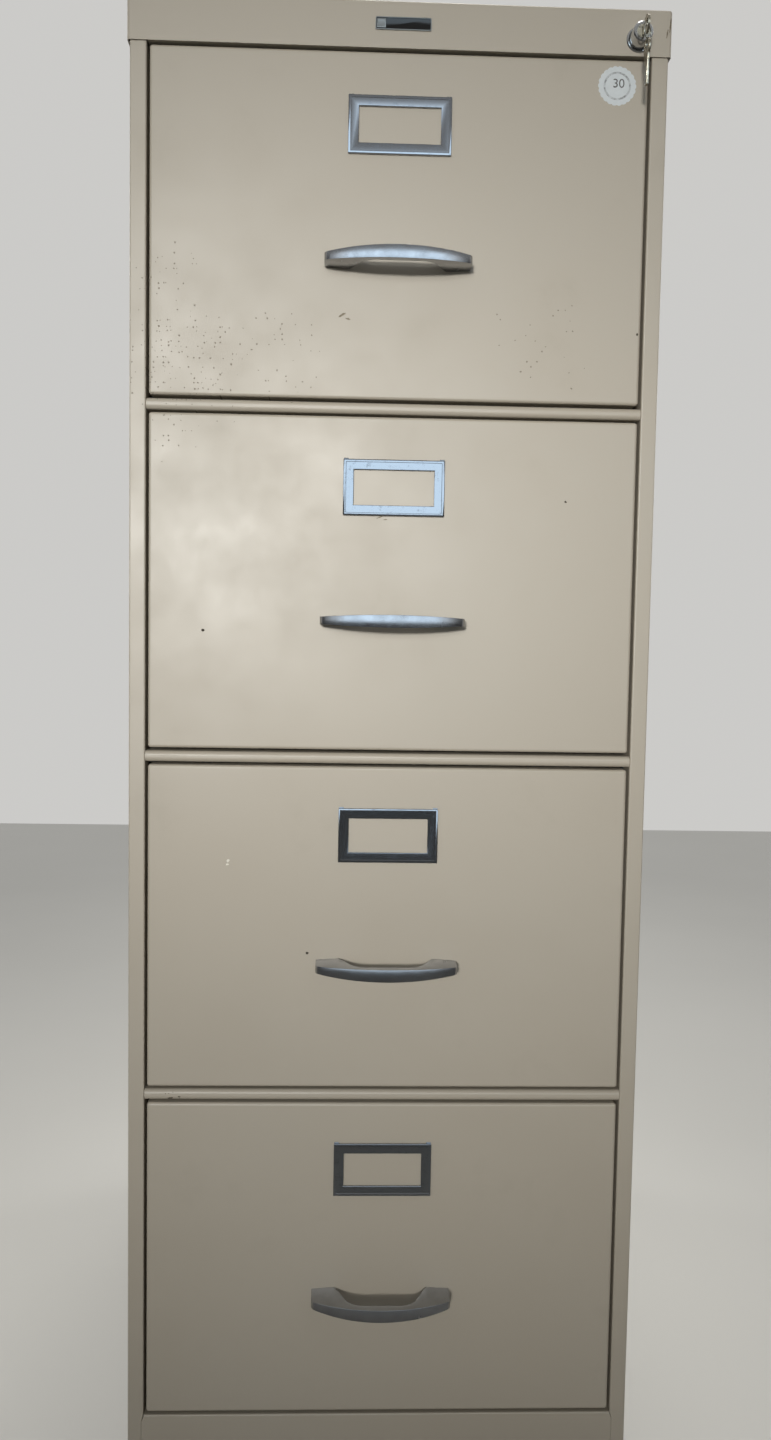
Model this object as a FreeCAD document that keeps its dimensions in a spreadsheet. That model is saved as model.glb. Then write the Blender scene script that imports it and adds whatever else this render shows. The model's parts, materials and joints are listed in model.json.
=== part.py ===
import FreeCAD, Part
import math
import os
import Sketcher

# Four-drawer vertical filing cabinet, legal width, in millimetres.
# Up is +Z, the drawers open towards -Y, and the origin is on the floor under the middle of the whole outline.
# Pieces are drawn from the front plane of the posts (Y = 0 there) and moved back together by their Placement.

doc = FreeCAD.newDocument("filing_cabinet")

# Driving dimensions

dimensions = [
    # case
    ("case_width", 457.2),          # across the side panels
    ("case_depth", 673.1),          # post face to the back
    ("case_height", 1320.8),        # floor to the top of the cap
    ("skin", 1.0),                  # sheet of the case and of the drawers
    ("bend_radius", 1.5),           # outer radius of a folded corner
    ("post_face", 14.2),            # visible width of a front post
    ("post_depth", 25.0),           # how far the post folds back
    ("rear_flange", 15.0),
    ("top_flange", 12.0),
    ("foot_flange", 28.0),
    ("flange_setback", 45.0),       # where the top flanges begin behind the posts' front
    ("foot_clear", 6.0),            # gap between the floor and the sheet metal
    ("joint_gap", 0.2),             # hairline where two panels butt
    ("panel_clear", 0.3),           # slack of a panel set between two others
    # cap
    ("fascia_height", 39.0),
    ("cap_lap", 2.0),               # how far the cap stands out round the case
    ("cap_radius", 2.5),
    ("cap_lip", 9.0),               # lower return of the fascia, behind the post plane
    # base
    ("base_height", 72.3),          # top of the base panel above the floor
    ("base_notch", 2.0),            # how far the base panel laps into each post
    ("base_chamfer", 6.0),
    ("base_return", 24.0),
    ("pan_level", 48.0),
    ("pan_flange", 18.0),
    # back
    ("back_bead_place", 110.0),
    ("back_bead_width", 30.0),
    ("back_bead_depth", 4.0),
    ("anchor_inset", 25.4),         # from the outer side; the two holes are then 16 inches apart
    ("anchor_drop", 60.0),
    ("anchor_radius", 3.5),
    # uprights
    ("upright_depth", 12.5),
    ("upright_gauge", 1.2),
    ("upright_crown", 24.0),
    ("upright_foot", 8.0),
    ("upright_front", 68.0),
    ("upright_rear", 83.1),         # middle of the rear pair, from the back
    ("upright_above", 2.7),         # over the top of the base panel
    ("upright_below", 19.8),        # under the fascia
    # glides
    ("glide_radius", 14.0),
    ("glide_pad", 4.0),
    ("glide_stem", 4.0),
    ("glide_rise", 34.0),
    ("glide_inset", 16.0),          # stem centre from the inner face of the side panel
    ("glide_margin", 45.0),         # stem centre from the front and from the back
    ("glide_slack", 0.1),
    # drawers
    ("rail_face", 9.7),
    ("rail_radius", 4.0),
    ("rail_nose", 5.0),
    ("rail_depth", 30.0),
    ("gap_over", 2.4),              # above a drawer front
    ("gap_under", 2.8),             # below a drawer front
    ("gap_side", 2.4),
    ("front_depth", 19.0),
    ("front_radius", 2.5),
    ("front_lip", 10.0),
    # drawer body
    ("tray_floor", 6.0),            # underside of the body above the lower edge of the front
    ("tray_side", 140.0),
    ("tray_setback", 10.0),         # back of the body in front of its rails' rear ends
    ("head_inset", 7.0),            # inner front, from the sides of the front
    ("head_margin", 12.0),
    ("gusset_rise", 90.0),
    ("gusset_top", 20.0),
    ("gusset_run", 90.0),
    ("hem_width", 5.0),
    ("hem_drop", 6.0),
    ("back_hem", 8.0),
    ("track_width", 30.0),          # crown of the pressed track for the follower
    ("track_rise", 5.0),
    ("track_slope", 5.0),
    ("track_slot", 6.0),
    ("track_start", 60.0),
    ("track_margin", 16.0),         # from the slot's rear end to the back
    ("latch_pitch", 38.1),
    ("latch_size", 5.0),
    ("latch_offset", 9.5),
    # suspension
    ("rail_gauge", 1.2),
    ("roller_radius", 9.5),
    ("roller_width", 6.0),
    ("roller_side_gap", 0.5),
    ("roller_run_gap", 0.3),        # roller to its track
    ("track_slack", 0.6),           # above the running flange
    ("flange_tip_gap", 0.9),        # running flange or rivet head to the web behind it
    ("pin_radius", 3.0),
    ("pin_slack", 0.05),
    ("head_radius", 5.0),
    ("head_thickness", 0.8),
    ("head_gap", 0.3),
    ("suspension_level", 75.0),     # case roller axis above the lower edge of the front
    ("channel_margin", 23.1),       # rear end of a case channel from the back of the case
    ("cradle_lead", 3.0),           # front end of a cradle behind the inner front
    ("cradle_margin", 5.0),         # its rear end before the channel's
    ("roller_setback", 13.0),
    ("drawer_keep", 32.0),          # length of a drawer that stays in the case when it is open
    ("stop_height", 6.0),
    ("stop_gauge", 3.0),
    ("stop_gap", 0.5),
    ("bar_flange", 8.0),
    # handle
    ("handle_width", 125.0),
    ("handle_reach", 42.0),
    ("handle_end", 22.5),           # depth of the handle at its ends
    ("handle_bar", 8.6),            # bar from front to back at the middle
    ("handle_height", 11.0),
    ("handle_end_height", 6.4),
    ("handle_pad", 20.6),
    ("handle_flat", 27.0),          # half length of the bar's back, before its corners are rounded
    ("handle_arch", 18.0),          # radius between the bar's back and the legs
    ("handle_corner", 4.0),
    ("handle_drop", 176.5),         # below the upper edge of the front
    ("screw_spacing", 101.6),
    ("screw_radius", 2.0),
    ("screw_slack", 0.05),
    ("screw_length", 11.0),
    ("screw_head", 4.0),
    ("screw_head_height", 2.6),
    ("screw_access", 8.0),
    # label frame
    ("label_width", 88.0),
    ("label_height", 48.3),
    ("label_depth", 3.2),
    ("label_window_width", 70.0),
    ("label_window_height", 30.4),
    ("label_drop", 36.7),
    ("label_rim", 2.2),
    ("label_step", 0.8),
    ("label_bevel", 1.2),
    ("card_depth", 1.2),
    ("card_margin", 3.0),
    # badge
    ("badge_width", 47.4),
    ("badge_height", 10.5),
    ("badge_gauge", 1.6),
    ("badge_rim", 0.9),
    ("badge_field", 0.5),
    ("badge_place", 1.5),
    ("badge_level", 19.5),          # below the top of the cap
    # lock
    ("nut_gap", 0.6),               # to the right post
    ("lock_drop", 25.6),            # axis below the top of the cap
    ("collar_radius", 10.8),
    ("collar_depth", 1.5),
    ("barrel_radius", 9.5),
    ("barrel_depth", 20.0),
    ("nut_radius", 11.5),
    ("nut_depth", 4.0),
    ("plunger_radius", 8.5),
    ("plunger_proud", 17.0),
    ("plunger_travel", 12.0),
    ("plunger_tail", 22.0),
    ("plunger_chamfer", 1.0),
    ("slide_slack", 0.05),
    ("plug_radius", 5.5),
    ("plug_length", 22.0),
    ("plug_recess", 0.4),
    ("tongue_half", 3.0),
    ("cam_pin_radius", 2.0),
    ("cam_pin_gap", 1.0),           # to the fold of the post
    ("cam_slack", 0.3),
    # keys
    ("key_gauge", 1.8),
    ("bow_radius", 7.5),
    ("bow_hole", 3.5),
    ("bow_hole_offset", 3.0),
    ("shoulder_width", 9.0),
    ("shoulder_length", 3.0),
    ("blade_width", 7.0),
    ("blade_length", 20.0),
    ("blade_bite", 1.6),
    ("keyway_slack", 0.25),
    ("shoulder_lap", 1.5),          # shoulder into the bow
    ("notch_start", 2.4),
    ("notch_pitch", 4.0),
    ("notch_slope", 1.0),
    ("key_nose", 2.0),
    ("key_stand", 1.5),             # shoulder in front of the plug
    ("ring_radius", 6.0),
    ("ring_wire", 0.6),
    ("ring_gap", 1.0),
    # lock bar
    ("bar_gauge", 2.0),
    ("bar_gap", 0.5),
    ("bar_setback", 5.0),           # behind the face of the post
    ("bar_width", 14.0),
    ("bar_margin", 60.0),           # below the lowest hook
    ("cam_plate_margin", 8.0),      # metal left round the slot
    ("hook_level", 102.0),
    ("hook_height", 8.0),
    ("hook_setback", 13.0),         # behind the fold of the post
    ("hook_gauge", 4.0),
    ("hook_gap", 1.3),              # hook tip to the web of the drawer channel
    ("lug_play", 4.0),              # between a hook and its lug
    ("lug_gauge", 3.0),
    ("lug_height", 16.0),
    # follower
    ("follower_setback", 25.0),     # in front of the back of the drawer at rest
    ("follower_width", 240.0),
    ("follower_height", 150.0),
    ("follower_gauge", 1.2),
    ("follower_flange", 10.0),
    ("follower_corner", 25.0),
    ("follower_foot", 57.0),
    ("follower_foot_width", 36.0),
    ("follower_keeper", 40.0),
    ("follower_neck", 5.0),
    ("follower_grip", 14.0),
    ("follower_gap", 0.3),
]

drawer_count = 4
notch_count = 4
ring_turn = 50.0                    # degrees, the ring hangs turned from the front view

sheet = doc.addObject("Spreadsheet::Sheet", "Sizes")
for row, (alias, number) in enumerate(dimensions, start=1):
    sheet.set("A%d" % row, alias)
    sheet.set("B%d" % row, str(number))
    sheet.setAlias("B%d" % row, alias)
doc.recompute()


class Size:
    """A length that knows its present value and the sheet expression that drives it."""

    def __init__(self, text, value):
        self.text = text
        self.value = value

    def __add__(self, other):
        other = size(other)
        return Size("(%s + %s)" % (self.text, other.text), self.value + other.value)

    def __sub__(self, other):
        other = size(other)
        return Size("(%s - %s)" % (self.text, other.text), self.value - other.value)

    def __mul__(self, other):
        other = size(other)
        return Size("(%s * %s)" % (self.text, other.text), self.value * other.value)

    def __truediv__(self, other):
        other = size(other)
        return Size("(%s / %s)" % (self.text, other.text), self.value / other.value)

    def __neg__(self):
        return self * -1

    def __radd__(self, other):
        return size(other) + self

    def __rsub__(self, other):
        return size(other) - self

    def __rmul__(self, other):
        return size(other) * self

    def root(self):
        return Size("sqrt(%s)" % self.text, math.sqrt(self.value))


def size(number):
    if isinstance(number, Size):
        return number
    return Size(repr(float(number)), float(number))


class Dimensions:
    """The sheet's values by name."""


S = Dimensions()
for alias, number in dimensions:
    setattr(S, alias, Size("Sizes." + alias, number))

# Levels and planes that several pieces share

half = S.case_width / 2
post_inner = half - S.post_face
skin_inner = half - S.skin
case_top = S.case_height - S.skin
fascia_low = S.case_height - S.fascia_height
back_inner = S.case_depth - 2 * S.skin
drawer_pitch = (fascia_low - S.base_height + S.rail_face) / drawer_count
front_width = 2 * (post_inner - S.gap_side)
front_height = drawer_pitch - S.rail_face - S.gap_over - S.gap_under
centre_shift = (S.case_depth + S.cap_lap - S.handle_reach) / -2


def drawer_level(index):
    """Lower edge of the front of drawer 1 (top) to 4."""
    return fascia_low - S.gap_over - front_height - (index - 1) * drawer_pitch


base_top = S.base_height

glide_places = [S.glide_margin, S.case_depth - S.glide_margin]

# Suspension, from the side panel inwards

channel_outer = skin_inner - S.upright_depth
channel_web = channel_outer - S.rail_gauge
case_roller_outer = channel_web - S.roller_side_gap
case_roller_inner = case_roller_outer - S.roller_width
web_space = S.head_gap + S.head_thickness + S.flange_tip_gap
cradle_outer = case_roller_inner - web_space
cradle_inner = cradle_outer - S.rail_gauge
cradle_roller_outer = cradle_inner - S.roller_side_gap
cradle_roller_inner = cradle_roller_outer - S.roller_width
drawer_web_outer = cradle_roller_inner - web_space
tray_half = drawer_web_outer - S.rail_gauge
channel_tip = case_roller_inner - S.flange_tip_gap
cradle_tip = cradle_roller_inner - S.flange_tip_gap
run_height = S.roller_radius + S.roller_run_gap
case_axis = S.suspension_level
cradle_flange = case_axis + run_height
cradle_axis = cradle_flange - run_height - S.rail_gauge - S.track_slack
tray_front = S.front_depth + S.skin
channel_front = S.post_depth + S.skin
channel_rear = S.case_depth - S.channel_margin
cradle_front = tray_front + S.cradle_lead
cradle_rear = channel_rear - S.cradle_margin
cradle_rear_axis = cradle_rear - S.roller_setback
drawer_channel_rear = cradle_rear_axis
drawer_rear_axis = drawer_channel_rear - S.roller_setback
tray_back = drawer_channel_rear - S.tray_setback
travel = drawer_channel_rear - S.drawer_keep
stop_reach = (S.roller_radius * S.roller_radius
              - (run_height - S.stop_height) * (run_height - S.stop_height)).root() + S.stop_gap

# Lock, and the bar that runs down inside the right post

lock_place = post_inner - S.nut_radius - S.nut_gap
lock_level = S.case_height - S.lock_drop
cam_pin_place = S.post_depth + S.cam_pin_gap + S.cam_pin_radius
hook_front = S.post_depth + S.hook_setback
lug_front = hook_front + S.hook_gauge + S.lug_play
plunger_face = -(S.cap_lap + S.plunger_proud)
key_hole = plunger_face + S.plug_recess - S.key_stand - S.shoulder_length - S.bow_radius - S.bow_hole_offset

# Drawing

plane_roles = {"XY": "XY_Plane", "XZ": "XZ_Plane", "YZ": "YZ_Plane"}
plane_sign = {"XY": 1, "XZ": -1, "YZ": 1}
pieces = []


def piece(label, rise=0.0, place=None):
    """A new body that stands in the shared frame, its foot at the given height."""
    body = doc.addObject("PartDesign::Body", label)
    body.Label = label
    east, south, up = place if place else (size(0), size(0), size(rise))
    if place:
        body.setExpression("Placement.Base.x", east.text)
    body.setExpression("Placement.Base.y", (centre_shift + south).text)
    body.setExpression("Placement.Base.z", up.text)
    pieces.append(body)
    return body


def hold(sketch, item, point, across, up):
    """Pins one point of a sketch by two bound distances from the sketch's origin."""
    for kind, distance in (("DistanceX", size(across)), ("DistanceY", size(up))):
        index = sketch.addConstraint(Sketcher.Constraint(kind, -1, 1, item, point, distance.value))
        sketch.setExpression("Constraints[%d]" % index, distance.text)


def outline(corners):
    """Closed outline with straight sides."""
    def draw(sketch):
        first = sketch.GeometryCount
        count = len(corners)
        points = [FreeCAD.Vector(size(x).value, size(y).value, 0) for x, y in corners]
        sides = [Part.LineSegment(points[i], points[(i + 1) % count]) for i in range(count)]
        sketch.addGeometry(sides, False)
        sketch.addConstraint([Sketcher.Constraint("Coincident", first + i, 2, first + (i + 1) % count, 1)
                              for i in range(count)])
        for i, (x, y) in enumerate(corners):
            hold(sketch, first + i, 1, x, y)
    return draw


def rectangle(left, right, low, high):
    return outline([(left, low), (right, low), (right, high), (left, high)])


def disc(across, up, radius):
    def draw(sketch):
        centre = FreeCAD.Vector(size(across).value, size(up).value, 0)
        item = sketch.addGeometry(Part.Circle(centre, FreeCAD.Vector(0, 0, 1), size(radius).value), False)
        hold(sketch, item, 3, across, up)
        index = sketch.addConstraint(Sketcher.Constraint("Radius", item, size(radius).value))
        sketch.setExpression("Constraints[%d]" % index, size(radius).text)
    return draw


def bow(reach, low, bulge, straight):
    """An arc between -reach and reach at height low that bulges by the given height, closed at straight."""
    bulge = size(bulge)
    span = size(reach)
    radius = (span * span + bulge * bulge) / (2 * bulge)
    upward = bulge.value > 0

    def draw(sketch):
        centre_up = size(low).value + bulge.value - radius.value
        length = abs(radius.value)
        lean = math.acos(span.value / length)
        first, last = (lean, math.pi - lean) if upward else (math.pi + lean, 2 * math.pi - lean)
        circle = Part.Circle(FreeCAD.Vector(0, centre_up, 0), FreeCAD.Vector(0, 0, 1), length)
        arc = sketch.addGeometry(Part.ArcOfCircle(circle, first, last), False)
        flat = size(straight).value
        corners = [FreeCAD.Vector(span.value, size(low).value, 0), FreeCAD.Vector(span.value, flat, 0),
                   FreeCAD.Vector(-span.value, flat, 0), FreeCAD.Vector(-span.value, size(low).value, 0)]
        sketch.addGeometry([Part.LineSegment(corners[i], corners[i + 1]) for i in range(3)], False)
        line = arc + 1
        left_end, right_end = (2, 1) if upward else (1, 2)
        sketch.addConstraint([Sketcher.Constraint("Coincident", arc, right_end, line, 1),
                              Sketcher.Constraint("Coincident", line, 2, line + 1, 1),
                              Sketcher.Constraint("Coincident", line + 1, 2, line + 2, 1),
                              Sketcher.Constraint("Coincident", line + 2, 2, arc, left_end)])
        hold(sketch, arc, left_end, -span, low)
        hold(sketch, arc, right_end, span, low)
        hold(sketch, line + 1, 1, span, straight)
        hold(sketch, line + 1, 2, -span, straight)
        index = sketch.addConstraint(Sketcher.Constraint("Radius", arc, length))
        sketch.setExpression("Constraints[%d]" % index, (radius if upward else -radius).text)
    return draw


def drawing(body, plane, place, shapes):
    sketch = body.newObject("Sketcher::SketchObject", body.Label + "_sketch")
    role = plane_roles[plane]
    sketch.AttachmentSupport = [(next(f for f in body.Origin.OriginFeatures if f.Role == role), "")]
    sketch.MapMode = "FlatFace"
    sketch.setExpression("AttachmentOffset.Base.z", (plane_sign[plane] * size(place)).text)
    for shape in shapes:
        shape(sketch)
    return sketch


def boss(body, plane, start, end, *shapes):
    """Adds the outlines, extruded along the plane's world axis from start to end."""
    pad = body.newObject("PartDesign::Pad", body.Label + "_pad")
    pad.Profile = drawing(body, plane, start, shapes)
    pad.Reversed = plane_sign[plane] < 0
    pad.setExpression("Length", (size(end) - start).text)
    return pad


def cut(body, plane, start, end, *shapes):
    """Takes the outlines away from start to end, and makes sure that something went."""
    doc.recompute()
    before = body.Shape.Volume
    pocket = body.newObject("PartDesign::Pocket", body.Label + "_pocket")
    pocket.Profile = drawing(body, plane, start, shapes)
    pocket.Reversed = plane_sign[plane] > 0
    pocket.setExpression("Length", (size(end) - start).text)
    doc.recompute()
    if not body.Shape.Volume < before:
        raise ValueError("nothing was cut from " + body.Label)
    return pocket


def edges_at(shape, **planes):
    """Names of the edges that lie wholly in the given planes, such as x=10, z=0."""
    names = []
    for index, edge in enumerate(shape.Edges, start=1):
        box = edge.BoundBox
        spans = {"x": (box.XMin, box.XMax), "y": (box.YMin, box.YMax), "z": (box.ZMin, box.ZMax)}
        lies = all(abs(bound - size(place).value) < 0.01 for axis, place in planes.items()
                   for bound in spans[axis])
        if lies:
            names.append("Edge%d" % index)
    return names


def soften(body, kind, amount, *places):
    """Fillets or chamfers the edges of the body's last feature that lie at the given places."""
    doc.recompute()
    base = body.Tip
    names = []
    for planes in places:
        names += edges_at(base.Shape, **planes)
    feature = body.newObject("PartDesign::" + kind, body.Label + "_" + kind.lower())
    feature.Base = (base, sorted(set(names), key=lambda name: int(name[4:])))
    feature.setExpression("Radius" if kind == "Fillet" else "Size", size(amount).text)
    return feature


def mirrored(side, corners):
    return [(side * size(x), y) for x, y in corners]


def span(side, inner, outer):
    """The lower and the upper bound of a stretch on the right (1) or left (-1) side."""
    if side > 0:
        return size(inner), size(outer)
    return -size(outer), -size(inner)


# Case

def side_panel(side, label):
    panel = piece(label)
    inner = skin_inner
    boss(panel, "XY", S.foot_clear, case_top, outline(mirrored(side, [
        (half, 0), (half, S.case_depth),
        (half - S.rear_flange, S.case_depth), (half - S.rear_flange, S.case_depth - S.skin),
        (inner, S.case_depth - S.skin), (inner, S.skin),
        (post_inner + S.skin, S.skin), (post_inner + S.skin, S.post_depth),
        (post_inner, S.post_depth), (post_inner, 0)])))
    soften(panel, "Fillet", S.bend_radius,
           {"x": side * half, "y": 0}, {"x": side * post_inner, "y": 0},
           {"x": side * half, "y": S.case_depth})
    left, right = span(side, inner - S.top_flange, inner)
    boss(panel, "XY", case_top - S.skin, case_top,
         rectangle(left, right, S.flange_setback, back_inner - S.panel_clear))
    left, right = span(side, inner - S.foot_flange, inner)
    stem = side * (inner - S.glide_inset)
    holes = [disc(stem, place, S.glide_stem + S.glide_slack) for place in glide_places]
    boss(panel, "XY", S.foot_clear, S.foot_clear + S.skin,
         rectangle(left, right, S.post_depth + S.skin, back_inner - S.panel_clear), *holes)
    cut(panel, "XZ", -S.skin, S.post_depth + S.skin, outline(mirrored(side, [
        (post_inner - S.skin, 0), (post_inner + S.base_notch, 0),
        (post_inner + S.base_notch, base_top - S.base_chamfer),
        (post_inner, base_top), (post_inner - S.skin, base_top)])))
    return panel


def back_panel():
    panel = piece("back_panel")
    edge = skin_inner - S.panel_clear
    near = back_inner
    far = S.case_depth - S.skin
    wide = S.back_bead_width / 2
    narrow = wide - S.back_bead_depth

    def bead(centre, face):
        deep = face - S.back_bead_depth
        return [(centre - wide, face), (centre - narrow, deep),
                (centre + narrow, deep), (centre + wide, face)]

    outer = [(-edge, far)] + bead(-S.back_bead_place, far) + bead(S.back_bead_place, far) + [(edge, far)]
    inner = [(-edge, near)] + bead(-S.back_bead_place, near) + bead(S.back_bead_place, near) + [(edge, near)]
    boss(panel, "XY", S.foot_clear, case_top, outline(outer + inner[::-1]))
    level = S.case_height - S.anchor_drop
    cut(panel, "XZ", near - S.skin, far + S.skin,
        *[disc(side * (half - S.anchor_inset), level, S.anchor_radius) for side in (-1, 1)])


def top_cap():
    cap = piece("top_cap")
    wide = half + S.cap_lap
    front = -S.cap_lap
    rear = S.case_depth + S.cap_lap
    boss(cap, "XY", fascia_low, S.case_height, rectangle(-wide, wide, front, rear))
    corners = [{"x": side * wide, "y": end} for side in (-1, 1) for end in (front, rear)]
    soften(cap, "Fillet", S.cap_radius, {"z": S.case_height}, *corners)
    cut(cap, "XY", fascia_low - S.skin, case_top,
        rectangle(-wide + S.skin, wide - S.skin, front + S.skin, rear - S.skin))
    lip = post_inner - S.skin
    boss(cap, "XY", fascia_low, fascia_low + S.skin,
         rectangle(-lip, lip, front + S.skin, S.cap_lip))
    cut(cap, "XZ", front - S.skin, front + 2 * S.skin,
        disc(lock_place, lock_level, S.barrel_radius + S.glide_slack))


def base_panel():
    panel = piece("base_panel")
    wide = post_inner + S.base_notch - S.joint_gap
    inner = post_inner - S.joint_gap
    low = S.foot_clear
    skin = S.skin
    boss(panel, "YZ", -inner, inner, outline([
        (0, low), (S.base_return, low), (S.base_return, low + skin), (skin, low + skin),
        (skin, base_top - skin), (S.base_return, base_top - skin), (S.base_return, base_top), (0, base_top)]))
    soften(panel, "Fillet", S.bend_radius, {"y": 0, "z": base_top})
    root = inner - 2 * S.base_notch
    shoulder = base_top - S.bend_radius
    boss(panel, "XZ", 0, skin, *[outline(mirrored(side, [
        (root, low), (wide, low), (wide, base_top - S.base_chamfer), (inner, shoulder), (root, shoulder)]))
        for side in (-1, 1)])


def bottom_pan():
    pan = piece("bottom_pan")
    wide = skin_inner - S.panel_clear
    front = S.post_depth + S.skin
    rear = back_inner - S.back_bead_depth - S.panel_clear
    low = S.pan_level - S.pan_flange
    boss(pan, "XY", low, S.pan_level, rectangle(-wide, wide, front, rear))
    cut(pan, "XY", low - S.skin, S.pan_level - S.skin,
        rectangle(-wide + S.skin, wide - S.skin, front + S.skin, rear - S.skin))


def cross_rails():
    rails = piece("cross_rails")
    wide = post_inner - S.joint_gap
    shapes = []
    levels = []
    for index in range(1, drawer_count):
        high = drawer_level(index) - S.gap_under
        low = high - S.rail_face
        levels += [low, high]
        shapes.append(outline([
            (0, low), (0, high), (S.rail_depth, high), (S.rail_depth, high - S.skin),
            (S.rail_nose, high - S.skin), (S.rail_nose, low + S.skin),
            (S.rail_depth, low + S.skin), (S.rail_depth, low)]))
    boss(rails, "YZ", -wide, wide, *shapes)
    soften(rails, "Fillet", S.rail_radius, *[{"y": 0, "z": level} for level in levels])


def uprights():
    hats = piece("uprights")
    skin_side = skin_inner
    crown = skin_side - S.upright_depth
    gauge = S.upright_gauge
    shapes = []
    for side in (-1, 1):
        for middle in (S.upright_front, S.case_depth - S.upright_rear):
            near = middle - S.upright_crown / 2
            far = middle + S.upright_crown / 2
            shapes.append(outline(mirrored(side, [
                (skin_side, near - S.upright_foot), (skin_side - gauge, near - S.upright_foot),
                (skin_side - gauge, near), (crown, near), (crown, far), (skin_side - gauge, far),
                (skin_side - gauge, far + S.upright_foot), (skin_side, far + S.upright_foot),
                (skin_side, far - gauge), (crown + gauge, far - gauge),
                (crown + gauge, near + gauge), (skin_side, near + gauge)])))
    boss(hats, "XY", base_top + S.upright_above, fascia_low - S.upright_below, *shapes)


def glides():
    feet = piece("glides")
    spots = [(side * (skin_inner - S.glide_inset), place)
             for side in (-1, 1) for place in glide_places]
    boss(feet, "XY", 0, S.glide_pad, *[disc(x, y, S.glide_radius) for x, y in spots])
    soften(feet, "Chamfer", S.skin, {"z": 0})
    boss(feet, "XY", S.glide_pad, S.foot_clear - S.panel_clear,
         *[disc(x, y, 2 * S.glide_stem) for x, y in spots])
    boss(feet, "XY", S.foot_clear - S.panel_clear, S.glide_rise,
         *[disc(x, y, S.glide_stem) for x, y in spots])


# Suspension

def pins(body, side, web, inward, spots):
    """Riveted pins that stand on a web, each with its head beyond the roller."""
    reach = S.roller_side_gap + S.roller_width + S.head_gap
    neck = web + inward * reach
    end = neck + inward * S.head_thickness
    for near, far, radius in ((web, neck, S.pin_radius), (neck, end, S.head_radius)):
        low, high = (near, far) if near.value < far.value else (far, near)
        low, high = span(side, low, high)
        boss(body, "YZ", low, high, *[disc(y, z, radius) for y, z in spots])


def rollers(label, rise, groups):
    """Pressed rollers with a bore that runs on the pins; each group is a stretch along X and its axes."""
    wheels = piece(label, rise)
    for low, high, spots in groups:
        for side in (-1, 1):
            near, far = span(side, low, high)
            shapes = []
            for y, z in spots:
                shapes += [disc(y, z, S.roller_radius), disc(y, z, S.pin_radius + S.pin_slack)]
            boss(wheels, "YZ", near, far, *shapes)
    return wheels


def case_channels(side, label):
    rails = piece(label)
    gauge = S.rail_gauge
    levels = [drawer_level(index) + case_axis for index in range(1, drawer_count + 1)]
    shapes = []
    stops = []
    stop_rear = cradle_rear_axis - travel / 2 - stop_reach
    left, right = span(side, channel_tip + gauge, channel_web)
    for axis in levels:
        low = axis - run_height
        high = axis + run_height + gauge + S.track_slack
        shapes.append(outline(mirrored(side, [
            (channel_outer, low - gauge), (channel_tip, low - gauge), (channel_tip, low), (channel_web, low),
            (channel_web, high), (channel_tip, high), (channel_tip, high + gauge),
            (channel_outer, high + gauge)])))
        stops.append(rectangle(left, right, low, low + S.stop_height))
    boss(rails, "XZ", channel_front, channel_rear, *shapes)
    boss(rails, "XZ", stop_rear - S.stop_gauge, stop_rear, *stops)
    spots = [(channel_front + S.roller_setback, axis) for axis in levels]
    pins(rails, side, channel_web, -1, spots)


def case_rollers():
    spots = [(channel_front + S.roller_setback, drawer_level(index) + case_axis)
             for index in range(1, drawer_count + 1)]
    rollers("case_rollers", 0.0, [(case_roller_inner, case_roller_outer, spots)])


def cradle(index):
    """Both travelling arms of one drawer, joined behind it by a cross bar."""
    arms = piece("cradle_%d" % index, drawer_level(index))
    gauge = S.rail_gauge
    low = cradle_axis - run_height
    high = cradle_flange
    wing = channel_web - S.flange_tip_gap
    wing_end = cradle_rear_axis - S.roller_radius - S.stop_gauge
    stop_rear = drawer_rear_axis - travel / 2 - stop_reach
    channels = []
    wings = []
    stops = []
    for side in (-1, 1):
        channels.append(outline(mirrored(side, [
            (cradle_tip, low - gauge), (cradle_outer, low - gauge), (cradle_outer, high + gauge),
            (cradle_tip, high + gauge), (cradle_tip, high), (cradle_inner, high),
            (cradle_inner, low), (cradle_tip, low)])))
        left, right = span(side, cradle_outer, wing)
        wings.append(rectangle(left, right, high, high + gauge))
        left, right = span(side, cradle_tip + gauge, cradle_inner)
        stops.append(rectangle(left, right, low, low + S.stop_height))
    boss(arms, "XZ", cradle_front, cradle_rear, *channels)
    boss(arms, "XZ", cradle_front, wing_end, *wings)
    boss(arms, "XZ", stop_rear - S.stop_gauge, stop_rear, *stops)
    left, right = span(1, cradle_tip - gauge, cradle_inner)
    cut(arms, "XZ", cradle_front - gauge, lug_front + S.lug_gauge + S.lug_play,
        rectangle(left, right, high - S.stop_gap, high + 2 * gauge))
    for side in (-1, 1):
        pins(arms, side, cradle_outer, 1, [(cradle_rear_axis, case_axis)])
        pins(arms, side, cradle_inner, -1, [(cradle_front + S.roller_setback, cradle_axis)])
    rear = cradle_rear
    boss(arms, "YZ", -cradle_outer, cradle_outer, outline([
        (rear - gauge, low - gauge), (rear, low - gauge), (rear, high + gauge),
        (rear - S.bar_flange, high + gauge), (rear - S.bar_flange, high),
        (rear - gauge, high)]))


def cradle_rollers(index):
    rollers("cradle_rollers_%d" % index, drawer_level(index), [
        (cradle_outer + S.roller_side_gap, cradle_outer + S.roller_side_gap + S.roller_width,
         [(cradle_rear_axis, case_axis)]),
        (cradle_roller_inner, cradle_roller_outer, [(cradle_front + S.roller_setback, cradle_axis)])])


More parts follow.
